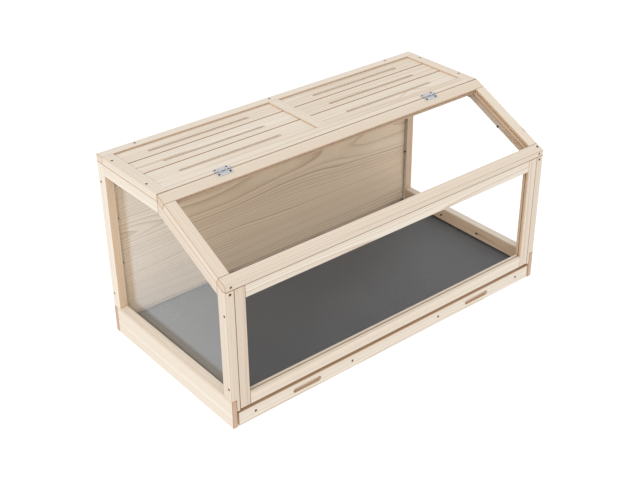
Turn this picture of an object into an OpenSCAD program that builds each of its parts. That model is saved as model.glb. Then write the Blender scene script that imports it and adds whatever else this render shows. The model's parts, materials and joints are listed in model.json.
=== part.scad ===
// Timber cold frame with a fixed slatted roof, a hinged glazed lid and a slide-out floor tray.
// Millimetres.  +Z is up, the front faces -Y and the long side runs along X.
// The origin is on the ground, below the middle of the frame.

/* [Overall size] */
// length over the side boards, along X
frame_length = 1000; // [830:10:1200]
// depth from the front face to the rear face, along Y
frame_depth = 508; // [460:2:610]
// height of the flat roof above the ground
roof_height = 500; // [450:5:600]
// height of the lid's upper front edge above the ground
lid_front_height = 381; // [360:1:400]
// depth of the flat roof, from the rear face to the hinge line
roof_depth = 262; // [230:2:300]

/* [Side frames] */
// thickness of the side frames, along X
side_thickness = 22; // [18:0.5:27]
// width of the four corner posts, along Y
post_width = 30; // [26:1:36]
// depth of the flat top rail of a side frame
top_rail_depth = 30; // [24:1:36]
// depth of the sloped rail of a side frame, square to its length
slope_rail_depth = 25; // [20:1:30]
// height at which the posts and the lower rails end above the ground
foot_height = 43; // [41:1:50]
// height of the lower rails above the base boards
sill_lip = 4; // [2:0.5:8]

/* [Base boards] */
// height of the base boards
skirt_height = 75; // [68:1:90]
// thickness of the base boards
skirt_thickness = 13; // [10:0.5:14]

/* [Front and back panels] */
// thickness of the front window frame and of the back board
panel_thickness = 18; // [15:0.5:18]
// width of the front window's stiles
stile_width = 28; // [22:1:36]
// depth of the front window's rails
window_rail_depth = 32; // [26:1:38]
// height of the front window's lower edge above the ground
window_foot = 46.5; // [45:0.5:52]
// height of the front window's upper edge above the ground
window_top = 366.5; // [345:0.5:368]
// thickness of the back board that is left in front of the rear base board
back_tongue = 5.5; // [4:0.5:7]
// side clearance between the panels and the posts
panel_clearance = 0.7; // [0.3:0.1:0.9]

/* [Roof] */
// thickness of the roof frame
roof_thickness = 18; // [16:1:22]
// width of the roof's side rails
roof_side_width = 30; // [26:1:36]
// width of the roof's rear rail
roof_rear_width = 27; // [24:1:34]
// width of the roof's front rail
roof_front_width = 37; // [30:1:42]
// width of the roof's middle rail
roof_mid_width = 30; // [26:1:36]
// extra width of the front slat over the other two
front_slat_extra = 12.5; // [0:0.5:16]
// thickness of a slat
slat_thickness = 8; // [6:0.5:9]
// depth of the slats' faces below the roof frame's upper face
slat_recess = 4; // [2:0.5:6]
// depth of the grooves that hold the slats
slat_groove = 6; // [4:0.5:8]
// open joint between two slats
slat_gap = 2; // [1:0.5:4]
// clearance of a slat in its grooves
slat_clearance = 0.3; // [0.2:0.1:0.4]
// length of the vent slot in each slat
slot_length = 293; // [200:1:310]
// width of the vent slot in each slat
slot_width = 9; // [6:0.5:14]
// distance of the middle of a slot from the rear edge of its slat
slot_setback = 38.6; // [32:0.1:42]
// distance of the slots from the middle of their bay, towards the roof's ends
slot_offset = 7; // [0:0.5:12]

/* [Lid] */
// thickness of the lid frame, square to its face
lid_thickness = 18; // [16:0.5:20]
// width of the lid's top and side rails
lid_rail_width = 30; // [24:1:36]
// width of the sloping face of the lid's bottom rail
lid_bottom_width = 26; // [24:1:34]
// open joint between the roof and the lid
ridge_gap = 1.2; // [0.8:0.1:2]
// clearance between the closed lid and the frame that it rests on
seat_gap = 0.4; // [0.3:0.1:0.6]

/* [Panes] */
// thickness of the clear panes
pane_thickness = 3; // [2:0.5:4]
// depth of the grooves that hold the lid and front panes
pane_groove = 8; // [6:0.5:9]
// clearance of a pane in its groove
pane_clearance = 0.3; // [0.2:0.1:0.4]
// depth of the lid pane below the lid's upper face
lid_pane_depth = 6; // [4:0.5:9]
// overlap of a side pane on the inside of its frame
side_pane_lap = 10; // [8:0.5:11]
// height of a side pane's lower edge above the foot of the posts
side_pane_rise = 9; // [7:0.5:12]

/* [Floor tray] */
// height of the tray's front board
tray_front_height = 36; // [34:0.5:38]
// thickness of the tray's front board
tray_front_thickness = 13; // [11:0.5:15]
// side clearance between the tray and the base boards
tray_side_clearance = 3.7; // [2:0.1:5]
// height of the tray above the ground
tray_ground_clearance = 1; // [0.5:0.5:3]
// clearance between the tray and the rear base board
tray_rear_clearance = 5; // [2:0.5:8]
// depth of the deck's face below the top of the tray's front board
deck_recess = 0.5; // [0:0.5:1.5]
// thickness of the plywood deck
deck_thickness = 4.5; // [3:0.5:6]
// thickness of the floor liner
liner_thickness = 2; // [1:0.5:2]
// width and depth of the battens below the deck
batten_width = 20; // [16:1:24]
// distance of the outer battens from the middle
outer_batten_x = 436; // [300:1:440]
// distance of the inner battens from the middle
inner_batten_x = 145; // [100:1:200]
// distance of the finger pulls from the middle
pull_x = 285; // [200:1:290]
// length of a finger pull
pull_length = 84; // [60:1:110]
// height of a finger pull
pull_height = 13; // [10:1:18]
// depth of a finger pull
pull_depth = 8; // [5:0.5:9]
// width and depth of the runners that carry the tray
runner_width = 20; // [16:1:24]
// distance of the runners' front ends behind the tray's front board
runner_setback = 6; // [3:1:12]

/* [Hinges] */
// distance of each hinge from the middle
hinge_x = 324; // [250:1:330]
// length of a hinge
hinge_length = 44; // [36:1:60]
// width of a hinge leaf from the pin's axis
leaf_width = 14.5; // [12:0.5:18]
// thickness of a hinge leaf
leaf_thickness = 1.2; // [1:0.1:1.6]
// radius of the hinge knuckles
knuckle_radius = 2.6; // [2.4:0.1:3]
// radius of the hinge pin
pin_radius = 1.2; // [1:0.1:1.3]
// running clearance between a pin and its knuckles
pin_clearance = 0.06; // [0.04:0.01:0.08]
// height of the knuckles above the wood
knuckle_lift = 0.25; // [0.2:0.05:0.4]

/* [Screws] */
// radius of a wood screw's head
head_radius = 3.3; // [2.8:0.1:3.8]
// thickness of a wood screw's head
head_height = 2; // [1.5:0.1:3]
// radius of a wood screw's shank
shank_radius = 1.5; // [1.2:0.1:1.8]
// length of a wood screw below its head
shank_length = 30; // [27:1:32]
// depth of the screw heads below the wood
screw_recess = 2.5; // [1.5:0.1:3]
// clearance around a screw
screw_clearance = 0.15; // [0.1:0.05:0.3]
// distance of the outer screws in the roof's rear rail from the middle
roof_rear_screw_x = 401; // [200:1:404]
// distance of the screws in the roof's side rails from the rails' ends
roof_end_screw_inset = 56.5; // [40:0.5:80]

/* [Hidden] */
$fn = 48;
cut = 1; // how far a cut runs past the face that it opens
sink = 0.5; // how far a screw's shank runs into its head
front_y = -frame_depth / 2;
rear_y = frame_depth / 2;
side_x = frame_length / 2;
inner_x = side_x - side_thickness;
skirt_inner_x = side_x - skirt_thickness;
skirt_inner_y = rear_y - skirt_thickness;
post_front_y = front_y + post_width;
post_rear_y = rear_y - post_width;
sill_height = skirt_height + sill_lip;
roof_bottom = roof_height - roof_thickness;
ridge_y = rear_y - roof_depth;
hinge_y = ridge_y - ridge_gap / 2;
lid_start_y = ridge_y - ridge_gap;
lid_run = hinge_y - front_y;
lid_slope = atan((roof_height - lid_front_height) / lid_run);
lid_length = lid_run / cos(lid_slope);
lid_bottom_start = lid_length - lid_bottom_width;
lid_inner_x = side_x - lid_rail_width;
lid_seat = window_top + seat_gap;
panel_x = inner_x - panel_clearance;
window_x = panel_x - stile_width;
window_back_y = front_y + panel_thickness;
window_sill = window_foot + window_rail_depth;
window_head = window_top - window_rail_depth;
window_pane_y = front_y + panel_thickness / 2;
back_front_y = skirt_inner_y - back_tongue;
back_rear_y = back_front_y + panel_thickness;
back_mid_y = back_front_y + panel_thickness / 2;
bay_inner_x = roof_mid_width / 2;
bay_outer_x = side_x - roof_side_width;
bay_front_y = ridge_y + roof_front_width;
bay_rear_y = rear_y - roof_rear_width;
slat_top = roof_height - slat_recess;
slat_bottom = slat_top - slat_thickness;
slat_tongue = slat_groove - slat_clearance;
slat_field = bay_rear_y - bay_front_y + 2 * slat_tongue;
slat_width = (slat_field - 2 * slat_gap - front_slat_extra) / 3;
slat_pitch = slat_width + slat_gap;
slot_x = (bay_inner_x + bay_outer_x) / 2 + slot_offset;
groove_half = pane_thickness / 2 + pane_clearance;
pane_lap = pane_groove - pane_clearance;
lid_pane_w = -lid_pane_depth - pane_thickness / 2;
side_pane_x = inner_x - pane_thickness;
side_pane_foot = foot_height + side_pane_rise;
tray_x = skirt_inner_x - tray_side_clearance;
tray_back_y = skirt_inner_y - tray_rear_clearance;
tray_front_top = tray_ground_clearance + tray_front_height;
tray_front_back_y = front_y + tray_front_thickness;
deck_bottom = tray_front_top - deck_recess - deck_thickness;
deck_top = deck_bottom + deck_thickness;
liner_top = deck_top + liner_thickness;
batten_bottom = deck_bottom - batten_width;
runner_top = deck_bottom - seat_gap;
runner_bottom = runner_top - runner_width;
runner_inner_x = skirt_inner_x - runner_width;
runner_front_y = tray_front_back_y + runner_setback;
pull_z = tray_ground_clearance + tray_front_height / 2;
axis_lift = (knuckle_radius + knuckle_lift) / cos(lid_slope);
hinge_z = roof_height + axis_lift;
lid_leaf_base = axis_lift * cos(lid_slope);
knuckles = 5;
knuckle_gap = 0.3;
knuckle_length = hinge_length / knuckles;
leaf_gap = 0.4;
tab_overlap = 2;
leaf_screw_x = hinge_length / 2 - 6.5;
leaf_screw_y = leaf_width - 5;
leaf_screw_u = leaf_screw_y - axis_lift * sin(lid_slope);
hinge_head_radius = 2.6;
hinge_head_height = 0.9;
hinge_shank_radius = 1.2;
hinge_shank_length = 12;
screw_tip_cover = 0.3;
lid_screw_room = (
    lid_start_y - hinge_y - screw_tip_cover + (leaf_screw_u - hinge_shank_radius) * cos(lid_slope)
) / sin(lid_slope);
lid_hinge_shank_length = min(hinge_shank_length, lid_screw_room);
pin_head_radius = 1.9;
pin_head_height = 0.8;
pane_head_radius = 3;
pane_head_height = 1.6;
pane_shank_length = 19;
pull_radius = pull_height / 2;
wood = [0.93, 0.87, 0.76];
ply = [0.80, 0.70, 0.56];
clear = [0.85, 0.93, 0.95, 0.3];
zinc = [0.78, 0.79, 0.82];
dark_screw = [0.16, 0.12, 0.10];
liner_grey = [0.33, 0.33, 0.34];

// wood screws through the roof, as [x, y]
roof_end_screw_x = side_x - 10;
roof_screw_ys = [ridge_y + roof_end_screw_inset, rear_y - roof_end_screw_inset];
roof_screw_spots = concat(
    [for (x = [-roof_end_screw_x, roof_end_screw_x]) for (y = roof_screw_ys) [x, y]],
    [for (x = [-roof_rear_screw_x, 0, roof_rear_screw_x]) [x, back_mid_y]]
);
// wood screws through the posts into the back board and the front window, as [y, z]
rear_post_screw_zs = [skirt_height + 40, roof_bottom - 52];
front_post_screw_zs = [skirt_height + 32, window_top - 63.5];
post_screw_spots = concat(
    [for (z = rear_post_screw_zs) [back_mid_y, z]],
    [for (z = front_post_screw_zs) [window_pane_y, z]]
);
// wood screw through a front post into the sloped rail, as [x, z]
post_face_spot = [side_x - 12, slope_under(post_front_y) + 10.5];
post_face_shank = 40;
// screws that hold a side pane, as [y, z]
pane_screw_inset = 5.5;
sill_screw_ys = [-70, 70];
sill_screw_z = side_pane_foot + 7;
front_pane_screw_zs = [170, 262];
rear_pane_screw_zs = [203, 328];
head_screw_ys = [ridge_y + 48, post_rear_y - 74];
slope_screw_y = (ridge_y + post_front_y) / 2;
pane_screw_spots = concat(
    [for (y = sill_screw_ys) [y, sill_screw_z]],
    [for (z = rear_pane_screw_zs) [post_rear_y + pane_screw_inset, z]],
    [for (z = front_pane_screw_zs) [post_front_y - pane_screw_inset, z]],
    [for (y = head_screw_ys) [y, roof_bottom - top_rail_depth + pane_screw_inset]],
    [[slope_screw_y, slope_under(slope_screw_y) + pane_screw_inset]]
);
// screws through the rear board into the ends of the side boards, as z
rear_screw_inset = 18;
rear_screw_zs = [rear_screw_inset, skirt_height - rear_screw_inset];
// screws through the runners into the side boards, as y
runner_screw_ys = [-180, 0, 180];
runner_shank = 22;
// screws through the tray's front board into its battens, as x
tray_screw_xs = [-outer_batten_x, -inner_batten_x, inner_batten_x, outer_batten_x];
tray_screw_z = tray_ground_clearance + 19.5;
// screws in the ends of the lid's bottom rail
lid_end_screw_x = side_x - 15;
lid_end_screw_z = (lid_front_height + lid_seat) / 2;
lid_face_screw_x = side_x - 8;
lid_face_screw_u = lid_bottom_start + 10;
lid_face_shank = 8;

// height at depth y of a plane parallel to the lid's face, at distance w above it
function lid_z(y, w) = roof_height - (hinge_y - y) * tan(lid_slope) + w / cos(lid_slope);

// depth y at which that plane reaches height z
function lid_y(z, w) = hinge_y - (roof_height + w / cos(lid_slope) - z) / tan(lid_slope);

// point u down the lid's face and w above it, as [y, z]
function on_lid(u, w) = [
    hinge_y - u * cos(lid_slope) - w * sin(lid_slope),
    roof_height - u * sin(lid_slope) + w * cos(lid_slope)
];

// lower edge of the sloped rail at depth y
function slope_under(y) = lid_z(y, -lid_thickness - seat_gap - slope_rail_depth);

// upper edge of the side frames below the lid, at depth y
function rest_z(y) = lid_z(y, -lid_thickness - seat_gap);

// Prism with its outline in the YZ plane, from x0 to x1.
module prism(points, x0, x1) {
    translate([x0, 0, 0])
        rotate([90, 0, 90])
            linear_extrude(x1 - x0)
                polygon(points);
}

// Block from its lowest corner to its highest corner.
module block(low, high) {
    translate(low)
        cube(high - low);
}

// Mirrors its children to the left side.
module leftward() {
    mirror([1, 0, 0])
        children();
}

// Turns +Z of its children to point along +X, for screws driven from the right.
module from_right() {
    rotate([0, 90, 0])
        children();
}

// Turns +Z of its children to point along -Y, for screws driven from the front.
module from_front() {
    rotate([90, 0, 0])
        children();
}

// Turns +Z of its children to point along +Y, for screws driven from the rear.
module from_rear() {
    rotate([-90, 0, 0])
        children();
}

// Wood screw driven down along -Z from a face at z = 0, with its head below the face.
module wood_screw(shank = shank_length) {
    translate([0, 0, -screw_recess - head_height])
        cylinder(r = head_radius, h = head_height);
    translate([0, 0, -screw_recess - head_height - shank])
        cylinder(r = shank_radius, h = shank + sink);
}

// Counterbore and pilot hole for a wood screw.
module wood_screw_hole(shank = shank_length) {
    translate([0, 0, -screw_recess - head_height])
        cylinder(r = head_radius + screw_clearance, h = head_height + screw_recess + cut);
    translate([0, 0, -screw_recess - head_height - shank - cut])
        cylinder(r = shank_radius + screw_clearance, h = shank + 2 * cut);
}

// Round-headed screw driven down along -Z from a face at z = 0, with its head on the face.
module face_screw(head_r, head_h, shank_r, shank) {
    cylinder(r = head_r, h = head_h);
    translate([0, 0, -shank])
        cylinder(r = shank_r, h = shank + sink);
}

// Pilot hole for a round-headed screw.
module face_screw_hole(shank_r, shank) {
    translate([0, 0, -shank - cut])
        cylinder(r = shank_r + screw_clearance, h = shank + 2 * cut);
}

// Puts a screw or its hole at each roof spot.
module at_roof_screws() {
    for (spot = roof_screw_spots)
        translate([spot[0], spot[1], roof_height])
            children();
}

// Puts a screw or its hole at each spot on the right posts' outer faces.
module at_post_screws() {
    for (spot = post_screw_spots)
        translate([side_x, spot[0], spot[1]])
            from_right()
                children();
}

// Puts a screw or its hole on the right front post's front face.
module at_post_face() {
    translate([post_face_spot[0], front_y, post_face_spot[1]])
        from_front()
            children();
}

// Puts a screw or its hole at each spot on the right pane's inner face.
module at_pane_screws() {
    for (spot = pane_screw_spots)
        translate([side_pane_x, spot[0], spot[1]])
            rotate([0, -90, 0])
                children();
}

// Puts a screw or its hole at each spot on the rear board's right end.
module at_rear_screws() {
    for (z = rear_screw_zs)
        translate([side_x - skirt_thickness / 2, rear_y, z])
            from_rear()
                children();
}

// Puts a screw or its hole at each spot on the right runner's inner face.
module at_runner_screws() {
    for (y = runner_screw_ys)
        translate([runner_inner_x, y, runner_bottom + runner_width / 2])
            rotate([0, -90, 0])
                children();
}

// Puts a screw or its hole at each spot on the tray's front board.
module at_tray_screws() {
    for (x = tray_screw_xs)
        translate([x, front_y, tray_screw_z])
            from_front()
                children();
}

// Puts a screw or its hole on the lid's front face, along the slope, at the right end.
module at_lid_end() {
    translate([lid_end_screw_x, front_y, lid_end_screw_z])
        rotate([90 + lid_slope, 0, 0])
            children();
}

// Puts a screw or its hole square to the lid's face, at the right end of its bottom rail.
module at_lid_face() {
    translate([lid_face_screw_x, on_lid(lid_face_screw_u, 0)[0], on_lid(lid_face_screw_u, 0)[1]])
        rotate([lid_slope, 0, 0])
            children();
}

// Puts a child at each screw spot of the hinge leaf at hinge_x, on the roof.
module at_roof_leaf_screws(base) {
    for (side = [-1, 1])
        translate([hinge_x + side * leaf_screw_x, hinge_y + leaf_screw_y, base])
            children();
}

// Puts a child at each screw spot of the hinge leaf at hinge_x, on the lid.
module at_lid_leaf_screws(lift) {
    for (side = [-1, 1])
        translate([hinge_x + side * leaf_screw_x, on_lid(leaf_screw_u, lift)[0], on_lid(leaf_screw_u, lift)[1]])
            rotate([lid_slope, 0, 0])
                children();
}

// ---- roof ----

module slat_grooves() {
    translate([0, 0, slat_bottom - slat_clearance])
        linear_extrude(slat_thickness + 2 * slat_clearance)
            children();
}

module roof_rear_rail() {
    color(wood)
        difference() {
            block([-side_x, bay_rear_y, roof_bottom], [side_x, rear_y, roof_height]);
            for (s = [-1, 1])
                slat_grooves()
                    translate([s * (bay_inner_x + bay_outer_x) / 2, bay_rear_y])
                        square([bay_outer_x - bay_inner_x + 2 * slat_groove, 2 * slat_groove], center = true);
            at_roof_screws()
                wood_screw_hole();
        }
}

module roof_front_rail() {
    color(wood)
        difference() {
            block([-bay_outer_x, ridge_y, roof_bottom], [bay_outer_x, bay_front_y, roof_height]);
            for (s = [-1, 1])
                slat_grooves()
                    translate([s * (bay_inner_x + bay_outer_x) / 2, bay_front_y])
                        square([bay_outer_x - bay_inner_x + 2 * slat_groove, 2 * slat_groove], center = true);
            for (m = [0, 1])
                mirror([m, 0, 0])
                    at_roof_leaf_screws(roof_height)
                        face_screw_hole(hinge_shank_radius, hinge_shank_length);
        }
}

module roof_end_rail() {
    difference() {
        block([bay_outer_x, ridge_y, roof_bottom], [side_x, bay_rear_y, roof_height]);
        slat_grooves()
            translate([bay_outer_x - cut, bay_front_y - slat_groove])
                square([slat_groove + cut, slat_field + 2 * slat_groove]);
        at_roof_screws()
            wood_screw_hole();
    }
}

module roof_left_rail() {
    color(wood)
        leftward()
            roof_end_rail();
}

module roof_right_rail() {
    color(wood)
        roof_end_rail();
}

module roof_mid_rail() {
    color(wood)
        difference() {
            block([-bay_inner_x, bay_front_y, roof_bottom], [bay_inner_x, bay_rear_y, roof_height]);
            for (s = [-1, 1])
                slat_grooves()
                    translate([s * bay_inner_x, (bay_front_y + bay_rear_y) / 2])
                        square([2 * slat_groove, slat_field + 2 * slat_groove], center = true);
        }
}

// Slat of the right bay with a round-ended vent slot, counted from the rear at 0 to the front at 2.
module slat(index) {
    y1 = bay_rear_y + slat_tongue - index * slat_pitch;
    y0 = y1 - slat_width - (index == 2 ? front_slat_extra : 0);
    slot_y = y1 - slot_setback;
    half = slot_length / 2 - slot_width / 2;
    difference() {
        block(
            [bay_inner_x - slat_tongue, y0, slat_bottom],
            [bay_outer_x + slat_tongue, y1, slat_top]
        );
        block(
            [slot_x - half, slot_y - slot_width / 2, slat_bottom - cut],
            [slot_x + half, slot_y + slot_width / 2, slat_top + cut]
        );
        for (s = [-1, 1])
            translate([slot_x + s * half, slot_y, slat_bottom - cut])
                cylinder(r = slot_width / 2, h = slat_thickness + 2 * cut);
    }
}

module roof_slat_left_front() {
    color(wood)
        leftward()
            slat(2);
}

module roof_slat_left_mid() {
    color(wood)
        leftward()
            slat(1);
}

module roof_slat_left_rear() {
    color(wood)
        leftward()
            slat(0);
}

module roof_slat_right_front() {
    color(wood)
        slat(2);
}

module roof_slat_right_mid() {
    color(wood)
        slat(1);
}

module roof_slat_right_rear() {
    color(wood)
        slat(0);
}

// ---- side frames ----

module rear_post() {
    difference() {
        block([inner_x, post_rear_y, foot_height], [side_x, rear_y, roof_bottom]);
        block([skirt_inner_x, post_rear_y - cut, foot_height - cut], [side_x + cut, rear_y + cut, skirt_height]);
        block([inner_x - cut, skirt_inner_y, foot_height - cut], [side_x + cut, rear_y + cut, skirt_height]);
        at_post_screws()
            wood_screw_hole();
        at_pane_screws()
            face_screw_hole(shank_radius, pane_shank_length);
    }
}

module rear_post_left() {
    color(wood)
        leftward()
            rear_post();
}

module rear_post_right() {
    color(wood)
        rear_post();
}

module front_post() {
    outline = [
        [front_y, foot_height],
        [post_front_y, foot_height],
        [post_front_y, rest_z(post_front_y)],
        [lid_y(window_top, -lid_thickness - seat_gap), window_top],
        [front_y, window_top]
    ];
    difference() {
        prism(outline, inner_x, side_x);
        block([skirt_inner_x, front_y - cut, foot_height - cut], [side_x + cut, post_front_y + cut, skirt_height]);
        at_post_screws()
            wood_screw_hole();
        at_post_face()
            wood_screw_hole(post_face_shank);
        at_pane_screws()
            face_screw_hole(shank_radius, pane_shank_length);
    }
}

module front_post_left() {
    color(wood)
        leftward()
            front_post();
}

module front_post_right() {
    color(wood)
        front_post();
}

module side_top_rail() {
    difference() {
        block([inner_x, ridge_y, roof_bottom - top_rail_depth], [side_x, post_rear_y, roof_bottom]);
        at_roof_screws()
            wood_screw_hole();
        at_pane_screws()
            face_screw_hole(shank_radius, pane_shank_length);
    }
}

module side_top_rail_left() {
    color(wood)
        leftward()
            side_top_rail();
}

module side_top_rail_right() {
    color(wood)
        side_top_rail();
}

module side_slope_rail() {
    outline = [
        [ridge_y, slope_under(ridge_y)],
        [ridge_y, rest_z(ridge_y)],
        [post_front_y, rest_z(post_front_y)],
        [post_front_y, slope_under(post_front_y)]
    ];
    difference() {
        prism(outline, inner_x, side_x);
        at_post_face()
            wood_screw_hole(post_face_shank);
        at_pane_screws()
            face_screw_hole(shank_radius, pane_shank_length);
    }
}

module side_slope_rail_left() {
    color(wood)
        leftward()
            side_slope_rail();
}

module side_slope_rail_right() {
    color(wood)
        side_slope_rail();
}

module side_sill() {
    difference() {
        block([inner_x, post_front_y, foot_height], [side_x, post_rear_y, sill_height]);
        block([skirt_inner_x, post_front_y - cut, foot_height - cut], [side_x + cut, post_rear_y + cut, skirt_height]);
        at_pane_screws()
            face_screw_hole(shank_radius, pane_shank_length);
    }
}

module side_sill_left() {
    color(wood)
        leftward()
            side_sill();
}

module side_sill_right() {
    color(wood)
        side_sill();
}

module side_pane() {
    lap_w = -lid_thickness - seat_gap - slope_rail_depth + side_pane_lap;
    head_z = roof_bottom - top_rail_depth + side_pane_lap;
    outline = [
        [post_front_y - side_pane_lap, side_pane_foot],
        [post_rear_y + side_pane_lap, side_pane_foot],
        [post_rear_y + side_pane_lap, head_z],
        [lid_y(head_z, lap_w), head_z],
        [post_front_y - side_pane_lap, lid_z(post_front_y - side_pane_lap, lap_w)]
    ];
    difference() {
        prism(outline, side_pane_x, inner_x);
        at_pane_screws()
            face_screw_hole(shank_radius, pane_shank_length);
    }
}

module side_pane_left() {
    color(clear)
        leftward()
            side_pane();
}

module side_pane_right() {
    color(clear)
        side_pane();
}

// ---- base boards and back board ----

module base_board() {
    difference() {
        block([skirt_inner_x, front_y, 0], [side_x, skirt_inner_y, skirt_height]);
        at_pane_screws()
            face_screw_hole(shank_radius, pane_shank_length);
        at_rear_screws()
            wood_screw_hole();
        at_runner_screws()
            wood_screw_hole(runner_shank);
    }
}

module base_board_left() {
    color(wood)
        leftward()
            base_board();
}

module base_board_right() {
    color(wood)
        base_board();
}

module base_board_rear() {
    color(wood)
        difference() {
            block([-side_x, skirt_inner_y, 0], [side_x, rear_y, skirt_height]);
            for (m = [0, 1])
                mirror([m, 0, 0])
                    at_rear_screws()
                        wood_screw_hole();
        }
}

module back_board() {
    outline = [
        [back_front_y, window_foot],
        [skirt_inner_y, window_foot],
        [skirt_inner_y, skirt_height],
        [back_rear_y, skirt_height],
        [back_rear_y, roof_bottom],
        [back_front_y, roof_bottom]
    ];
    color(ply)
        difference() {
            prism(outline, -panel_x, panel_x);
            at_roof_screws()
                wood_screw_hole();
            for (m = [0, 1])
                mirror([m, 0, 0])
                    at_post_screws()
                        wood_screw_hole();
        }
}

// ---- front window ----

// Space of the groove around the front pane.
module window_groove() {
    block(
        [-window_x - pane_groove, window_pane_y - groove_half, window_sill - pane_groove],
        [window_x + pane_groove, window_pane_y + groove_half, window_head + pane_groove]
    );
}

module window_stile() {
    difference() {
        block([window_x, front_y, window_foot], [panel_x, window_back_y, window_top]);
        window_groove();
        at_post_screws()
            wood_screw_hole();
    }
}

module window_stile_left() {
    color(wood)
        leftward()
            window_stile();
}

module window_stile_right() {
    color(wood)
        window_stile();
}

module window_top_rail() {
    color(wood)
        difference() {
            block([-window_x, front_y, window_head], [window_x, window_back_y, window_top]);
            window_groove();
        }
}

module window_bottom_rail() {
    color(wood)
        difference() {
            block([-window_x, front_y, window_foot], [window_x, window_back_y, window_sill]);
            window_groove();
        }
}

module window_pane() {
    color(clear)
        block(
            [-window_x - pane_lap, window_pane_y - pane_thickness / 2, window_sill - pane_lap],
            [window_x + pane_lap, window_pane_y + pane_thickness / 2, window_head + pane_lap]
        );
}

// ---- tray runners ----

module tray_runner() {
    difference() {
        block([runner_inner_x, runner_front_y, runner_bottom], [skirt_inner_x, skirt_inner_y, runner_top]);
        at_runner_screws()
            wood_screw_hole(runner_shank);
    }
}

module tray_runner_left() {
    color(wood)
        leftward()
            tray_runner();
}

module tray_runner_right() {
    color(wood)
        tray_runner();
}

// ---- hinges ----

// Knuckles of the hinge at hinge_x whose number leaves the given remainder.
module knuckle_set(remainder) {
    for (k = [0 : knuckles - 1])
        if (k % 2 == remainder)
            translate([hinge_x - hinge_length / 2 + k * knuckle_length + knuckle_gap / 2, 0, 0])
                rotate([0, 90, 0])
                    cylinder(r = knuckle_radius, h = knuckle_length - knuckle_gap);
}

// Tabs that join those knuckles to the leaf at distance base below the pin's axis, towards +Y.
module knuckle_tabs(remainder, base) {
    for (k = [0 : knuckles - 1])
        if (k % 2 == remainder)
            block(
                [hinge_x - hinge_length / 2 + k * knuckle_length + knuckle_gap / 2, 0, -base],
                [
                    hinge_x - hinge_length / 2 + (k + 1) * knuckle_length - knuckle_gap / 2,
                    knuckle_radius + tab_overlap,
                    max(-base + leaf_thickness, -knuckle_radius + sink)
                ]
            );
}

// Hinge leaf in the pin's own frame, lying towards +Y at distance base below the axis.
module hinge_leaf(remainder, base) {
    difference() {
        union() {
            knuckle_set(remainder);
            knuckle_tabs(remainder, base);
            block(
                [hinge_x - hinge_length / 2 + knuckle_gap / 2, knuckle_radius + leaf_gap, -base],
                [hinge_x + hinge_length / 2 - knuckle_gap / 2, leaf_width, -base + leaf_thickness]
            );
        }
        translate([hinge_x - hinge_length, 0, 0])
            rotate([0, 90, 0])
                cylinder(r = pin_radius + pin_clearance, h = 2 * hinge_length);
        for (side = [-1, 1])
            translate([hinge_x + side * leaf_screw_x, leaf_screw_y, -base - cut])
                cylinder(r = hinge_shank_radius + screw_clearance, h = leaf_thickness + 2 * cut);
    }
}

module roof_hinge_leaf() {
    translate([0, hinge_y, hinge_z])
        hinge_leaf(0, axis_lift);
}

module roof_hinge_leaf_left() {
    color(zinc)
        leftward()
            roof_hinge_leaf();
}

module roof_hinge_leaf_right() {
    color(zinc)
        roof_hinge_leaf();
}

module lid_hinge_leaf() {
    translate([0, hinge_y, hinge_z])
        rotate([lid_slope, 0, 0])
            mirror([0, 1, 0])
                hinge_leaf(1, lid_leaf_base);
}

module lid_hinge_leaf_left() {
    color(zinc)
        leftward()
            lid_hinge_leaf();
}

module lid_hinge_leaf_right() {
    color(zinc)
        lid_hinge_leaf();
}

module hinge_pins() {
    color(zinc)
        for (m = [0, 1])
            mirror([m, 0, 0])
                translate([hinge_x - hinge_length / 2, hinge_y, hinge_z])
                    rotate([0, 90, 0]) {
                        cylinder(r = pin_radius, h = hinge_length);
                        translate([0, 0, -pin_head_height])
                            cylinder(r = pin_head_radius, h = pin_head_height);
                        translate([0, 0, hinge_length])
                            cylinder(r = pin_head_radius, h = pin_head_height);
                    }
}

// ---- screws of the fixed frame ----

module roof_screws() {
    color(dark_screw)
        at_roof_screws()
            wood_screw();
}

module post_screws() {
    color(dark_screw)
        for (m = [0, 1])
            mirror([m, 0, 0]) {
                at_post_screws()
                    wood_screw();
                at_post_face()
                    wood_screw(post_face_shank);
            }
}

module pane_screws() {
    color(dark_screw)
        for (m = [0, 1])
            mirror([m, 0, 0])
                at_pane_screws()
                    face_screw(pane_head_radius, pane_head_height, shank_radius, pane_shank_length);
}

module base_screws() {
    color(dark_screw)
        for (m = [0, 1])
            mirror([m, 0, 0]) {
                at_rear_screws()
                    wood_screw();
                at_runner_screws()
                    wood_screw(runner_shank);
            }
}

module roof_hinge_screws() {
    color(dark_screw)
        for (m = [0, 1])
            mirror([m, 0, 0])
                at_roof_leaf_screws(roof_height + leaf_thickness)
                    face_screw(hinge_head_radius, hinge_head_height, hinge_shank_radius, hinge_shank_length);
}

// ---- lid ----

// Space of the groove around the lid's pane.
module lid_groove() {
    outline = [
        on_lid(lid_rail_width - pane_groove, lid_pane_w - groove_half),
        on_lid(lid_bottom_start + pane_groove, lid_pane_w - groove_half),
        on_lid(lid_bottom_start + pane_groove, lid_pane_w + groove_half),
        on_lid(lid_rail_width - pane_groove, lid_pane_w + groove_half)
    ];
    prism(outline, -lid_inner_x - pane_groove, lid_inner_x + pane_groove);
}

module lid_top_rail() {
    outline = [
        [lid_start_y, lid_z(lid_start_y, 0)],
        [lid_start_y, lid_z(lid_start_y, -lid_thickness)],
        on_lid(lid_rail_width, -lid_thickness),
        on_lid(lid_rail_width, 0)
    ];
    color(wood)
        difference() {
            prism(outline, -side_x, side_x);
            lid_groove();
            for (m = [0, 1])
                mirror([m, 0, 0])
                    at_lid_leaf_screws(0)
                        face_screw_hole(hinge_shank_radius, lid_hinge_shank_length);
        }
}

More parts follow.
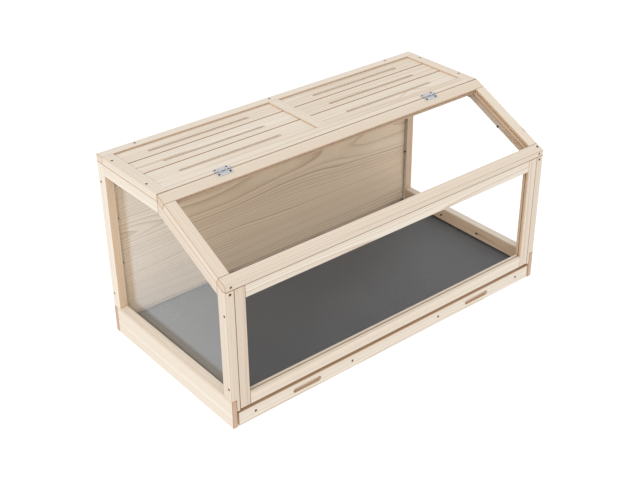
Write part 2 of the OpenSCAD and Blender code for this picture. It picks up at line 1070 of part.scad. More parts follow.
module lid_bottom_rail() {
    outline = [
        on_lid(lid_bottom_start, 0),
        on_lid(lid_bottom_start, -lid_thickness),
        [lid_y(lid_seat, -lid_thickness), lid_seat],
        [front_y, lid_seat],
        [front_y, lid_front_height]
    ];
    color(wood)
        difference() {
            prism(outline, -side_x, side_x);
            lid_groove();
            for (m = [0, 1])
                mirror([m, 0, 0])
                    at_lid_end()
                        wood_screw_hole();
            at_lid_face()
                wood_screw_hole(lid_face_shank);
        }
}

module lid_side_rail() {
    outline = [
        on_lid(lid_rail_width, 0),
        on_lid(lid_rail_width, -lid_thickness),
        on_lid(lid_bottom_start, -lid_thickness),
        on_lid(lid_bottom_start, 0)
    ];
    difference() {
        prism(outline, lid_inner_x, side_x);
        lid_groove();
        at_lid_end()
            wood_screw_hole();
    }
}

module lid_left_rail() {
    color(wood)
        leftward()
            lid_side_rail();
}

module lid_right_rail() {
    color(wood)
        lid_side_rail();
}

module lid_pane() {
    outline = [
        on_lid(lid_rail_width - pane_lap, lid_pane_w - pane_thickness / 2),
        on_lid(lid_bottom_start + pane_lap, lid_pane_w - pane_thickness / 2),
        on_lid(lid_bottom_start + pane_lap, lid_pane_w + pane_thickness / 2),
        on_lid(lid_rail_width - pane_lap, lid_pane_w + pane_thickness / 2)
    ];
    color(clear)
        prism(outline, -lid_inner_x - pane_lap, lid_inner_x + pane_lap);
}

module lid_screws() {
    color(dark_screw) {
        for (m = [0, 1])
            mirror([m, 0, 0])
                at_lid_end()
                    wood_screw();
        at_lid_face()
            wood_screw(lid_face_shank);
    }
}

module lid_hinge_screws() {
    color(dark_screw)
        for (m = [0, 1])
            mirror([m, 0, 0])
                at_lid_leaf_screws(leaf_thickness)
                    face_screw(hinge_head_radius, hinge_head_height, hinge_shank_radius, lid_hinge_shank_length);
}

// ---- floor tray ----

// Blind round-ended finger pull in the tray's front face, at the right.
module finger_pull() {
    half = pull_length / 2 - pull_radius;
    block(
        [pull_x - half, front_y - cut, pull_z - pull_radius],
        [pull_x + half, front_y + pull_depth, pull_z + pull_radius]
    );
    for (s = [-1, 1])
        translate([pull_x + s * half, front_y + pull_depth, pull_z])
            rotate([90, 0, 0])
                cylinder(r = pull_radius, h = pull_depth + cut);
}

module tray_front() {
    color(wood)
        difference() {
            block([-tray_x, front_y, tray_ground_clearance], [tray_x, tray_front_back_y, tray_front_top]);
            for (m = [0, 1])
                mirror([m, 0, 0])
                    finger_pull();
            at_tray_screws()
                wood_screw_hole();
        }
}

module tray_deck() {
    color(ply)
        block([-tray_x, tray_front_back_y, deck_bottom], [tray_x, tray_back_y, deck_top]);
}

module floor_liner() {
    color(liner_grey)
        block([-tray_x, tray_front_back_y, deck_top], [tray_x, tray_back_y, liner_top]);
}

// Batten below the deck, with its middle at x.
module tray_batten(x) {
    difference() {
        block(
            [x - batten_width / 2, tray_front_back_y, batten_bottom],
            [x + batten_width / 2, tray_back_y, deck_bottom]
        );
        at_tray_screws()
            wood_screw_hole();
    }
}

module tray_batten_left_outer() {
    color(wood)
        tray_batten(-outer_batten_x);
}

module tray_batten_left_inner() {
    color(wood)
        tray_batten(-inner_batten_x);
}

module tray_batten_right_inner() {
    color(wood)
        tray_batten(inner_batten_x);
}

module tray_batten_right_outer() {
    color(wood)
        tray_batten(outer_batten_x);
}

module tray_screws() {
    color(dark_screw)
        at_tray_screws()
            wood_screw();
}

roof_rear_rail();
roof_front_rail();
roof_left_rail();
roof_right_rail();
roof_mid_rail();
roof_slat_left_front();
roof_slat_left_mid();
roof_slat_left_rear();
roof_slat_right_front();
roof_slat_right_mid();
roof_slat_right_rear();
rear_post_left();
rear_post_right();
front_post_left();
front_post_right();
side_top_rail_left();
side_top_rail_right();
side_slope_rail_left();
side_slope_rail_right();
side_sill_left();
side_sill_right();
side_pane_left();
side_pane_right();
base_board_left();
base_board_right();
base_board_rear();
back_board();
window_stile_left();
window_stile_right();
window_top_rail();
window_bottom_rail();
window_pane();
tray_runner_left();
tray_runner_right();
roof_hinge_leaf_left();
roof_hinge_leaf_right();
hinge_pins();
roof_screws();
post_screws();
pane_screws();
base_screws();
roof_hinge_screws();
lid_top_rail();
lid_bottom_rail();
lid_left_rail();
lid_right_rail();
lid_pane();
lid_hinge_leaf_left();
lid_hinge_leaf_right();
lid_screws();
lid_hinge_screws();
tray_front();
tray_deck();
floor_liner();
tray_batten_left_outer();
tray_batten_left_inner();
tray_batten_right_inner();
tray_batten_right_outer();
tray_screws();
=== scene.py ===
"""Looks of a timber cold frame: a slatted roof, a hinged clear lid, clear windows and a slide-out floor tray.

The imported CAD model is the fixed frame. Each sub-assembly is a class that makes its own pieces around the CAD
nodes, in metres and in the CAD's own frame, and dresses them with node materials that need no images.
"""

from __future__ import annotations

import json
import logging
import math
from abc import ABC, abstractmethod
from dataclasses import dataclass
from enum import Enum
from typing import Callable, Iterator, Sequence, Union

import bmesh
import bpy
import numpy as np
from bmesh.types import BMEdge, BMesh, BMFace, BMVert
from bpy.types import Material, Mesh, MeshPolygon, Node, NodeSocket, Object
from mathutils import Matrix, Vector
from mathutils.bvhtree import BVHTree


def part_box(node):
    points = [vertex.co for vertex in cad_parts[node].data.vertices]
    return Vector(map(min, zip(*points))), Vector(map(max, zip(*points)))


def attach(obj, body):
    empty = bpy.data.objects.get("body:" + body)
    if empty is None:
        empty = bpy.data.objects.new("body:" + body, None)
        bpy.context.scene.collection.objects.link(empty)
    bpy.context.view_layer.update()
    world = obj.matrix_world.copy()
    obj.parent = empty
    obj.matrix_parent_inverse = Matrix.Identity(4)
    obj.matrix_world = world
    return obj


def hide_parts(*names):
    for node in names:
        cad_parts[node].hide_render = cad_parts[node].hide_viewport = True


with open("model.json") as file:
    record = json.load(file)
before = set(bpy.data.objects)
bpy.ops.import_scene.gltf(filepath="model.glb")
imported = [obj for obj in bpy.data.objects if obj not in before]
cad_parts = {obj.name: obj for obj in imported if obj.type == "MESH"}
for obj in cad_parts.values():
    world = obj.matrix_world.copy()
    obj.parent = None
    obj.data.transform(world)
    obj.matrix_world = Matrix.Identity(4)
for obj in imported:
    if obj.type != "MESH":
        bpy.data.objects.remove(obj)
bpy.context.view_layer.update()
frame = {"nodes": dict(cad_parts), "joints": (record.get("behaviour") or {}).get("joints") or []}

LOG = logging.getLogger("cold_frame")
MM = 0.001
FULL_TURN = 2 * math.pi
WELD = 0.002 * MM
CREASE = math.radians(32)
SLOPE_COS = 0.8998
SLOPE_SIN = 0.4363

Colour = tuple[float, float, float]
Source = Union[NodeSocket, float, Sequence[float]]
Stops = tuple[tuple[float, float], ...]


# --- Node wiring ---


class Bench:
    """A node material being wired, with short methods for the nodes that the finishes use."""

    def __init__(self, name: str) -> None:
        """Starts an empty material of that name."""
        self.material = bpy.data.materials.new(name)
        self.material.use_nodes = True
        self.tree = self.material.node_tree
        self.tree.nodes.clear()

    def node(self, kind: str, **settings: object) -> Node:
        """Adds a node of a Blender type, sets its properties and returns it."""
        made = self.tree.nodes.new(kind)
        for name, value in settings.items():
            setattr(made, name, value)
        return made

    def feed(self, socket: NodeSocket, source: Source) -> None:
        """Links an input to an output socket, or sets it to a plain value."""
        if isinstance(source, NodeSocket):
            self.tree.links.new(source, socket)
        elif isinstance(source, (int, float)):
            socket.default_value = source
        else:
            wanted = len(socket.default_value)
            socket.default_value = (*source, 1.0)[:wanted] if len(source) < wanted else tuple(source)

    def attribute(self, name: str, output: str = "Fac") -> NodeSocket:
        """Reads an attribute of the mesh and returns the named output."""
        return self.node("ShaderNodeAttribute", attribute_name=name).outputs[output]

    def place(self) -> NodeSocket:
        """Returns the place on the piece, in metres."""
        return self.node("ShaderNodeTexCoord").outputs["Object"]

    def math(self, operation: str, first: Source, second: Source = 0.0, third: Source = 0.0,
             clamp: bool = False) -> NodeSocket:
        """Combines up to three numbers and returns the result."""
        made = self.node("ShaderNodeMath", operation=operation, use_clamp=clamp)
        for socket, source in zip(made.inputs, (first, second, third)):
            self.feed(socket, source)
        return made.outputs[0]

    def vector(self, operation: str, first: Source, second: Source = (0.0, 0.0, 0.0)) -> NodeSocket:
        """Combines two vectors and returns the result, which is a number for LENGTH."""
        made = self.node("ShaderNodeVectorMath", operation=operation)
        self.feed(made.inputs[0], first)
        self.feed(made.inputs[1], second)
        return made.outputs["Value" if operation == "LENGTH" else "Vector"]

    def noise(self, place: Source, stretch: Sequence[float], detail: float = 2.0, roughness: float = 0.5,
              output: str = "Fac") -> NodeSocket:
        """Adds a noise pattern.

        Args:
            place: the coordinates.
            stretch: the pattern's frequency along each coordinate, per metre.
            detail: its octaves.
            roughness: how strong the finer octaves are.
            output: "Fac" or "Color".

        Returns:
            The noise, from 0 to 1.
        """
        made = self.node("ShaderNodeTexNoise")
        self.feed(made.inputs["Vector"], self.vector("MULTIPLY", place, stretch))
        made.inputs["Scale"].default_value = 1.0
        made.inputs["Detail"].default_value = detail
        made.inputs["Roughness"].default_value = roughness
        return made.outputs[output]

    def ramp(self, factor: Source, stops: Stops) -> NodeSocket:
        """Maps a number through (position, grey) stops and returns the result."""
        made = self.node("ShaderNodeValToRGB")
        elements = made.color_ramp.elements
        while len(elements) < len(stops):
            elements.new(0.5)
        for element, (position, grey) in zip(elements, stops):
            element.position = position
            element.color = (grey, grey, grey, 1.0)
        self.feed(made.inputs[0], factor)
        return made.outputs[0]

    def mix(self, factor: Source, first: Source, second: Source, blend: str = "MIX") -> NodeSocket:
        """Mixes two colours and returns the result."""
        made = self.node("ShaderNodeMix", data_type="RGBA", blend_type=blend)
        self.feed(made.inputs[0], factor)
        self.feed(made.inputs[6], first)
        self.feed(made.inputs[7], second)
        return made.outputs[2]

    def blend(self, factor: Source, first: NodeSocket, second: NodeSocket) -> NodeSocket:
        """Mixes two shaders and returns the result."""
        made = self.node("ShaderNodeMixShader")
        for socket, source in zip(made.inputs, (factor, first, second)):
            self.feed(socket, source)
        return made.outputs[0]

    def bump(self, height: Source, strength: float, distance: float) -> NodeSocket:
        """Turns a height into a bumped normal and returns it."""
        made = self.node("ShaderNodeBump")
        made.inputs["Strength"].default_value = strength
        made.inputs["Distance"].default_value = distance
        self.feed(made.inputs["Height"], height)
        return made.outputs[0]

    def principled(self, **inputs: Source) -> NodeSocket:
        """Adds a Principled shader, with its inputs named in lower case, and returns its output."""
        made = self.node("ShaderNodeBsdfPrincipled")
        for name, source in inputs.items():
            label = name.replace("_", " ").title().replace("Ior", "IOR")
            self.feed(made.inputs[label], source)
        return made.outputs[0]

    def finish(self, shader: NodeSocket) -> Material:
        """Links the shader to the output and returns the finished material."""
        output = self.node("ShaderNodeOutputMaterial")
        self.tree.links.new(shader, output.inputs["Surface"])
        return self.material


# --- Finishes ---


@dataclass(frozen=True)
class Finish(ABC):
    """What a piece is made of: the name of its material and its slot in the record."""

    name: str
    slot: str

    @abstractmethod
    def wire(self, bench: Bench) -> NodeSocket:
        """Wires the finish on a bench and returns its shader."""

    def material(self) -> Material:
        """Returns the finish as a new material."""
        bench = Bench(self.name)
        return bench.finish(self.wire(bench))


@dataclass(frozen=True)
class SoftwoodFinish(Finish):
    """Planed, unfinished softwood, cut from growth rings that run round a pith along each bar.

    It reads "grain", a place in metres whose first axis is the pith, and five shares: "end_grain" for sawn
    ends, "aged" for a darker bar, and three of painted shade: "sheltered" for faces that look into the house,
    "bored" for the walls of slots, holes and joints, and "seam" for edges along a joint.
    """

    early: Colour
    late: Colour
    warm: Colour
    ring_width: float
    ring_strength: float
    slow_sway: float
    quick_sway: float
    vigour_floor: float = 0.4
    knot_share: float = 0.965
    knot_colour: Colour = (0.36, 0.20, 0.10)
    end_tone: Colour = (0.74, 0.60, 0.52)
    # Painted shade along the edges of joints.
    seam_shade_tone: Colour = (0.50, 0.34, 0.22)
    # Painted shade in bores, slots and between parts that touch.
    bore_shade_tone: Colour = (0.66, 0.41, 0.22)
    # Painted shade on upright faces that look into the house, where little light reaches.
    inner_shade_tone: Colour = (0.91, 0.745, 0.60)
    aged_tone: Colour = (0.86, 0.80, 0.75)
    roughness: float = 0.58
    relief: float = 0.25
    sways: tuple[tuple[float, float, float], ...] = ((1.3, 8.0, 8.0), (7.0, 42.0, 42.0))
    knot_cells: tuple[float, float, float] = (9.0, 17.0, 17.0)
    knot_near: Stops = ((0.0, 1.0), (0.22, 0.55), (0.62, 0.0))
    knot_heart: Stops = ((0.0, 1.0), (0.10, 0.85), (0.17, 0.0))
    knot_rings: float = 3.2
    lean_rate: float = 0.16
    lean_rings: float = 2.6
    year: Stops = ((0.0, 0.10), (0.35, 0.04), (0.74, 0.42), (0.92, 1.0), (1.0, 0.12))
    tones: tuple[float, float, float] = (0.9, 13.0, 13.0)
    warmed: Stops = ((0.36, 0.0), (0.68, 0.6))
    fibres: tuple[float, float, float] = (14.0, 950.0, 950.0)
    flecks: tuple[float, float, float] = (95.0, 1500.0, 1500.0)
    flecked: Stops = ((0.66, 0.0), (0.76, 1.0))
    fibre_shade: float = 0.14
    fleck_share: float = 0.16
    heart_share: float = 0.75

    def swayed(self, bench: Bench, place: NodeSocket) -> NodeSocket:
        """Bends the grain coordinates slowly along the bar, with smaller ripples on top."""
        bent = place
        for stretch, size in zip(self.sways, (self.slow_sway, self.quick_sway)):
            drift = bench.noise(place, stretch, detail=1.0, output="Color")
            centred = bench.vector("SUBTRACT", drift, (0.5, 0.5, 0.5))
            bent = bench.vector("ADD", bent, bench.vector("MULTIPLY", centred, (0.0, size, size)))
        return bent

    def knots(self, bench: Bench, place: NodeSocket) -> tuple[NodeSocket, NodeSocket]:
        """Places a few knots.

        Args:
            bench: the material being wired.
            place: the grain coordinates.

        Returns:
            How near a knot is, from 0 to 1, and how much of the surface is its heart.
        """
        cells = bench.node("ShaderNodeTexVoronoi")
        bench.feed(cells.inputs["Vector"], bench.vector("MULTIPLY", place, self.knot_cells))
        cells.inputs["Scale"].default_value = 1.0
        parts = bench.node("ShaderNodeSeparateColor")
        bench.feed(parts.inputs[0], cells.outputs["Color"])
        chosen = bench.math("GREATER_THAN", parts.outputs[0], self.knot_share)
        near = bench.ramp(cells.outputs["Distance"], self.knot_near)
        heart = bench.ramp(cells.outputs["Distance"], self.knot_heart)
        return bench.math("MULTIPLY", near, chosen), bench.math("MULTIPLY", heart, chosen)

    def wire(self, bench: Bench) -> NodeSocket:
        """Wires the finish and returns its shader."""
        place = bench.attribute("grain", "Vector")
        end = bench.attribute("end_grain")
        near_knot, heart = self.knots(bench, place)

        radius = bench.vector("LENGTH", bench.vector("MULTIPLY", self.swayed(bench, place), (0.0, 1.0, 1.0)))
        radius = bench.math("MULTIPLY_ADD", near_knot, self.knot_rings * self.ring_width, radius)
        lean_years = bench.node("ShaderNodeTexNoise", noise_dimensions="1D")
        bench.feed(lean_years.inputs["W"], bench.math("MULTIPLY", radius, self.lean_rate / self.ring_width))
        lean_years.inputs["Scale"].default_value = 1.0
        uneven = bench.math("MULTIPLY", lean_years.outputs[0], self.lean_rings * self.ring_width)
        years = bench.math("DIVIDE", bench.math("ADD", radius, uneven), self.ring_width)
        season = bench.math("FRACT", years)
        late = bench.ramp(season, self.year)
        each_year = bench.node("ShaderNodeTexWhiteNoise", noise_dimensions="1D")
        bench.feed(each_year.inputs["W"], bench.math("FLOOR", years))
        vigour = bench.math("MULTIPLY_ADD", each_year.outputs[0], 1.0 - self.vigour_floor, self.vigour_floor)
        late = bench.math("MULTIPLY", bench.math("MULTIPLY", late, vigour), self.ring_strength)

        warmth = bench.ramp(bench.noise(place, self.tones), self.warmed)
        fibre = bench.noise(place, self.fibres, detail=3.0, roughness=0.6)
        fleck = bench.ramp(bench.noise(place, self.flecks, detail=1.0), self.flecked)

        colour = bench.mix(late, self.early, self.late)
        colour = bench.mix(warmth, colour, self.warm, blend="MULTIPLY")
        shade = bench.math("MULTIPLY_ADD", fibre, self.fibre_shade, 1.0 - self.fibre_shade / 2)
        grey = bench.node("ShaderNodeCombineColor")
        for channel in range(3):
            bench.feed(grey.inputs[channel], shade)
        colour = bench.mix(1.0, colour, grey.outputs[0], blend="MULTIPLY")
        fleck = bench.math("MULTIPLY", fleck, self.fleck_share)
        colour = bench.mix(fleck, colour, self.late, blend="MULTIPLY")
        colour = bench.mix(bench.math("MULTIPLY", heart, self.heart_share), colour, self.knot_colour)
        colour = bench.mix(end, colour, self.end_tone, blend="MULTIPLY")
        # aged is the bar's own darker tone; the other three paint shade into inner faces, recesses and joints.
        shares = {
            "aged": self.aged_tone,
            "painted_inner_shade": self.inner_shade_tone,
            "painted_bore_shade": self.bore_shade_tone,
            "painted_seam_shade": self.seam_shade_tone,
        }
        for share, tone in shares.items():
            colour = bench.mix(bench.attribute(share), colour, tone, blend="MULTIPLY")

        height = bench.math("ADD", bench.math("MULTIPLY", fibre, 0.6), bench.math("MULTIPLY", late, 0.5))
        rough = bench.math("ADD", bench.math("MULTIPLY", fibre, 0.16), bench.math("MULTIPLY", end, 0.12))
        rough = bench.math("ADD", rough, self.roughness - 0.08, clamp=True)
        return bench.principled(
            base_color=colour,
            roughness=rough,
            specular_ior_level=0.35,
            normal=bench.bump(height, self.relief, 0.25 * MM),
        )


@dataclass(frozen=True)
class ClearSheetFinish(Finish):
    """Clear acrylic sheet that mirrors more as it is seen at a slant. Its cut edges look pale."""

    tint: Colour
    head_on: float
    grazing: float
    smears: Stops = ((0.35, 0.02), (0.75, 0.10))
    edge_share: float = 0.12

    def wire(self, bench: Bench) -> NodeSocket:
        """Wires the finish and returns its shader."""
        place = bench.place()
        slant = bench.node("ShaderNodeLayerWeight")
        slant.inputs["Blend"].default_value = 0.5
        rise = bench.math("MULTIPLY", bench.math("POWER", slant.outputs["Facing"], 5.0), self.grazing)
        mirror = bench.math("ADD", rise, self.head_on, clamp=True)
        smear = bench.noise(place, (9.0, 9.0, 9.0), detail=3.0)
        rough = bench.ramp(smear, self.smears)
        gloss = bench.principled(base_color=(0.95, 0.97, 0.97), metallic=1.0, roughness=rough)
        clear = bench.node("ShaderNodeBsdfTransparent")
        clear.inputs["Color"].default_value = (*self.tint, 1.0)
        edge = bench.principled(base_color=(0.72, 0.80, 0.80), roughness=0.35)
        face = bench.blend(mirror, clear.outputs[0], gloss)
        return bench.blend(bench.math("MULTIPLY", bench.attribute("end_grain"), self.edge_share), face, edge)


@dataclass(frozen=True)
class SteelFinish(Finish):
    """Coated steel with a fine mottle that also makes it duller, and a faint relief."""

    colour: Colour
    shadow: Colour
    metal: float
    mottle: float
    shadowed: Stops
    dullness: tuple[float, float]
    relief: tuple[float, float, float]
    relief_detail: float
    relief_strength: float

    def wire(self, bench: Bench) -> NodeSocket:
        """Wires the finish and returns its shader."""
        place = bench.place()
        mottle = bench.noise(place, (self.mottle,) * 3, detail=3.0)
        relief = bench.noise(place, self.relief, detail=self.relief_detail)
        return bench.principled(
            base_color=bench.mix(bench.ramp(mottle, self.shadowed), self.colour, self.shadow),
            metallic=self.metal,
            roughness=bench.math("MULTIPLY_ADD", mottle, *self.dullness),
            normal=bench.bump(relief, self.relief_strength, 0.05 * MM),
        )


@dataclass(frozen=True)
class LinerFinish(Finish):
    """Dark grey satin floor sheet that lies slightly uneven, with faint clouding and a darker band along its
    edges.
    """

    colour: Colour
    cloud: Colour
    edge_band_tone: Colour = (0.66, 0.66, 0.66)

    def wire(self, bench: Bench) -> NodeSocket:
        """Wires the finish and returns its shader."""
        place = bench.place()
        cloud = bench.noise(place, (5.0, 5.0, 5.0), detail=3.0)
        drape = bench.noise(place, (46.0, 46.0, 46.0), detail=1.0)
        colour = bench.mix(bench.ramp(cloud, ((0.3, 0.0), (0.75, 1.0))), self.colour, self.cloud)
        # Darker along the sheet's edges and sides.
        colour = bench.mix(bench.attribute("edge_band"), colour, self.edge_band_tone, blend="MULTIPLY")
        rough = bench.math("MULTIPLY_ADD", cloud, 0.14, 0.42)
        return bench.principled(
            base_color=colour, roughness=rough, specular_ior_level=0.4,
            normal=bench.bump(drape, 0.10, 0.30 * MM),
        )


FIR = SoftwoodFinish(
    name="planed_fir", slot="fir",
    early=(0.755, 0.69, 0.60), late=(0.52, 0.39, 0.27), warm=(0.96, 0.91, 0.86),
    ring_width=3.2 * MM, ring_strength=0.75, slow_sway=11 * MM, quick_sway=1.3 * MM,
)
VENEER = SoftwoodFinish(
    name="fir_veneer", slot="plywood",
    early=(0.90, 0.745, 0.57), late=(0.45, 0.285, 0.16), warm=(0.96, 0.91, 0.84),
    ring_width=5.2 * MM, ring_strength=1.0, slow_sway=85 * MM, quick_sway=3.0 * MM, knot_share=0.992,
    roughness=0.62, relief=0.2, inner_shade_tone=(1.0, 1.0, 1.0),
)
SIDE_SHEET = ClearSheetFinish("side_acrylic", "acrylic", (0.992, 0.995, 0.997), 0.070, 0.95)
FRONT_SHEET = ClearSheetFinish("front_acrylic", "acrylic", (0.996, 0.998, 0.999), 0.0005, 0.22)
ZINC = SteelFinish(
    name="zinc_plate", slot="zinc_steel", colour=(0.75, 0.755, 0.78), shadow=(0.58, 0.585, 0.61), metal=0.9,
    mottle=420.0, shadowed=((0.35, 0.0), (0.7, 1.0)), dullness=(0.22, 0.2),
    relief=(260.0, 4200.0, 4200.0), relief_detail=2.0, relief_strength=0.12,
)
DARK_STEEL = SteelFinish(
    name="dark_screw_steel", slot="screw_steel", colour=(0.024, 0.014, 0.010), shadow=(0.065, 0.032, 0.02),
    metal=0.25, mottle=900.0, shadowed=((0.45, 0.0), (0.7, 0.8)), dullness=(0.25, 0.3),
    relief=(900.0, 900.0, 900.0), relief_detail=3.0, relief_strength=0.2,
)
SHEET_LINER = LinerFinish("liner_sheet", "liner", (0.093, 0.099, 0.107), (0.111, 0.117, 0.125))


class Wardrobe:
    """Keeps one material for each finish."""

    def __init__(self) -> None:
        """Starts with no material made."""
        self.made: dict[str, Material] = {}

    def dress(self, piece: Object, finish: Finish) -> None:
        """Gives a piece its finish as its only material."""
        if finish.name not in self.made:
            self.made[finish.name] = finish.material()
        piece.data.materials.clear()
        piece.data.materials.append(self.made[finish.name])


# --- Mesh work ---


def show(name: str, data: bpy.types.ID) -> Object:
    """Puts data in the scene as a new object and returns it."""
    made = bpy.data.objects.new(name, data)
    bpy.context.scene.collection.objects.link(made)
    return made


def pour(mesh: BMesh, part: BMesh) -> None:
    """Adds a part to a mesh and frees the part."""
    held = bpy.data.meshes.new("pattern")
    part.to_mesh(held)
    part.free()
    mesh.from_mesh(held)
    bpy.data.meshes.remove(held)


def wall(mesh: BMesh, first: Sequence[BMVert], second: Sequence[BMVert]) -> list[BMFace]:
    """Joins two like rings with a band of faces and returns the faces."""
    afters = [(k + 1) % len(first) for k in range(len(first))]
    return [mesh.faces.new([first[k], first[j], second[j], second[k]]) for k, j in enumerate(afters)]


def round_off(mesh: BMesh, edges: Sequence[BMEdge], width: float) -> dict[str, list]:
    """Bevels edges in two steps and returns what the bevel made."""
    return bmesh.ops.bevel(
        mesh, geom=edges, offset=width, segments=2, profile=0.5, affect="EDGES", clamp_overlap=True
    )


def mark(data: Mesh, name: str, share: Callable[[MeshPolygon], float]) -> None:
    """Writes one share, from 0 to 1, for each face of a mesh under a name."""
    layer = data.attributes.new(name, "FLOAT", "FACE")
    layer.data.foreach_set("value", [float(share(face)) for face in data.polygons])


class Run(Enum):
    """The way the grain of a bar runs: its long axis, then the two axes across it."""

    ALONG_X = ((1.0, 0.0, 0.0), (0.0, 1.0, 0.0), (0.0, 0.0, 1.0))
    ALONG_Y = ((0.0, 1.0, 0.0), (1.0, 0.0, 0.0), (0.0, 0.0, 1.0))
    ALONG_Z = ((0.0, 0.0, 1.0), (1.0, 0.0, 0.0), (0.0, 1.0, 0.0))
    DOWN_SLOPE = ((0.0, SLOPE_COS, SLOPE_SIN), (1.0, 0.0, 0.0), (0.0, -SLOPE_SIN, SLOPE_COS))


class Surroundings:
    """All the CAD solids but the clear panes as one tree, which tells how closely a face is boxed in, for the
    painted shade.

    A ray starts a little off its own face, by start_off in millimetres.
    """

    start_off = 0.05

    def __init__(self) -> None:
        """Gathers the triangles of every solid that hides what is behind it."""
        corners: list[Vector] = []
        triangles: list[tuple[int, ...]] = []
        self.owner: list[str] = []
        for node, source in frame["nodes"].items():
            if "_pane" in node:
                continue
            first = len(corners)
            corners.extend(vert.co.copy() for vert in source.data.vertices)
            triangles.extend(tuple(first + k for k in face.vertices) for face in source.data.polygons)
            self.owner.extend([node] * len(source.data.polygons))
        self.tree = BVHTree.FromPolygons(corners, triangles)

    def room(self, place: Vector, normal: Vector, reach: float) -> float:
        """Returns the free way before a face at a place, up to a reach, or infinity when nothing is met."""
        distance = self.tree.ray_cast(place + normal * self.start_off * MM, normal, reach)[3]
        return math.inf if distance is None else distance

    def touches(self, place: Vector, node: str, within: float) -> bool:
        """Tells whether the surface of another node than this one comes within a distance of a place."""
        return any(self.owner[found[2]] != node for found in self.tree.find_nearest_range(place, within))


SURROUNDINGS = Surroundings()


@dataclass(frozen=True)
class Easing:
    """How the sharp outer edges of a piece are taken off."""

    width: float
    rim_width: float = 0.25 * MM
    sharper_than: float = math.radians(20)
    long_edge: float = 4 * MM
    flat_within: float = math.radians(0.3)

    def shape(self, node: str) -> BMesh:
        """Takes a CAD node's solid, joins its flat faces and eases its outer edges.

        Args:
            node: the CAD node.

        Returns:
            The new mesh, with a face layer "eased" that is 1 on the eased edges.
        """
        mesh = bmesh.new()
        mesh.from_mesh(frame["nodes"][node].data)
        bmesh.ops.remove_doubles(mesh, verts=mesh.verts, dist=WELD)
        bmesh.ops.dissolve_limit(mesh, angle_limit=self.flat_within, verts=mesh.verts, edges=mesh.edges)
        mesh.normal_update()
        mesh.faces.layers.float.new("eased")
        self.take_off(mesh, self.width, lambda edge: all(self.meets_long_edges(vert) for vert in edge.verts))
        layer = mesh.faces.layers.float["eased"]
        self.take_off(
            mesh, self.rim_width,
            lambda edge: not any(face[layer] for vert in edge.verts for face in vert.link_faces),
        )
        return mesh

    def meets_long_edges(self, vert: BMVert) -> bool:
        """Tells whether every edge at a corner is long, as it is away from bores and slot ends."""
        return all(edge.calc_length() > self.long_edge for edge in vert.link_edges)

    def take_off(self, mesh: BMesh, width: float, wanted: Callable[[BMEdge], bool]) -> None:
        """Eases the outer edges that are wanted.

        Args:
            mesh: the solid.
            width: how much is taken off.
            wanted: picks the edges.
        """
        layer = mesh.faces.layers.float["eased"]
        mesh.normal_update()
        outer = [
            edge for edge in mesh.edges
            if len(edge.link_faces) == 2
            and edge.calc_face_angle_signed(0.0) > self.sharper_than
            and wanted(edge)
        ]
        eased = round_off(mesh, outer, width)
        for face in eased["faces"]:
            face[layer] = 1.0


class Workshop:
    """Turns finished meshes into pieces that ride on a body and stand for CAD nodes."""

    def __init__(self, wardrobe: Wardrobe) -> None:
        """Keeps the wardrobe that dresses each piece."""
        self.wardrobe = wardrobe

    def hand_over(self, name: str, mesh: BMesh, finish: Finish, body: str,
                  nodes: Sequence[str], smooth: bool = False) -> Object:
        """Makes a piece of a finished mesh.

        Args:
            name: the piece's name.
            mesh: its shape, in the CAD frame. It is freed here.
            finish: what it is made of.
            body: the CAD body that it rides on.
            nodes: the CAD nodes that it stands for.
            smooth: whether its round faces are shaded round.

        Returns:
            The new piece.
        """
        data = bpy.data.meshes.new(name)
        bmesh.ops.recalc_face_normals(mesh, faces=mesh.faces)
        for face in mesh.faces:
            face.smooth = smooth
        for edge in mesh.edges:
            edge.smooth = not smooth or edge.calc_face_angle(0.0) < CREASE
        mesh.to_mesh(data)
        mesh.free()
        piece = show(name, data)
        self.wardrobe.dress(piece, finish)
        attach(piece, body)
        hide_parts(*nodes)
        LOG.info("%s: %d faces, on %s", name, len(data.polygons), body)
        return piece


class Part(ABC):
    """One piece that is made around a CAD node."""

    @abstractmethod
    def build(self, workshop: Workshop, body: str) -> None:
        """Makes the piece.

        Args:
            workshop: what turns meshes into pieces.
            body: the CAD body that it rides on.
        """


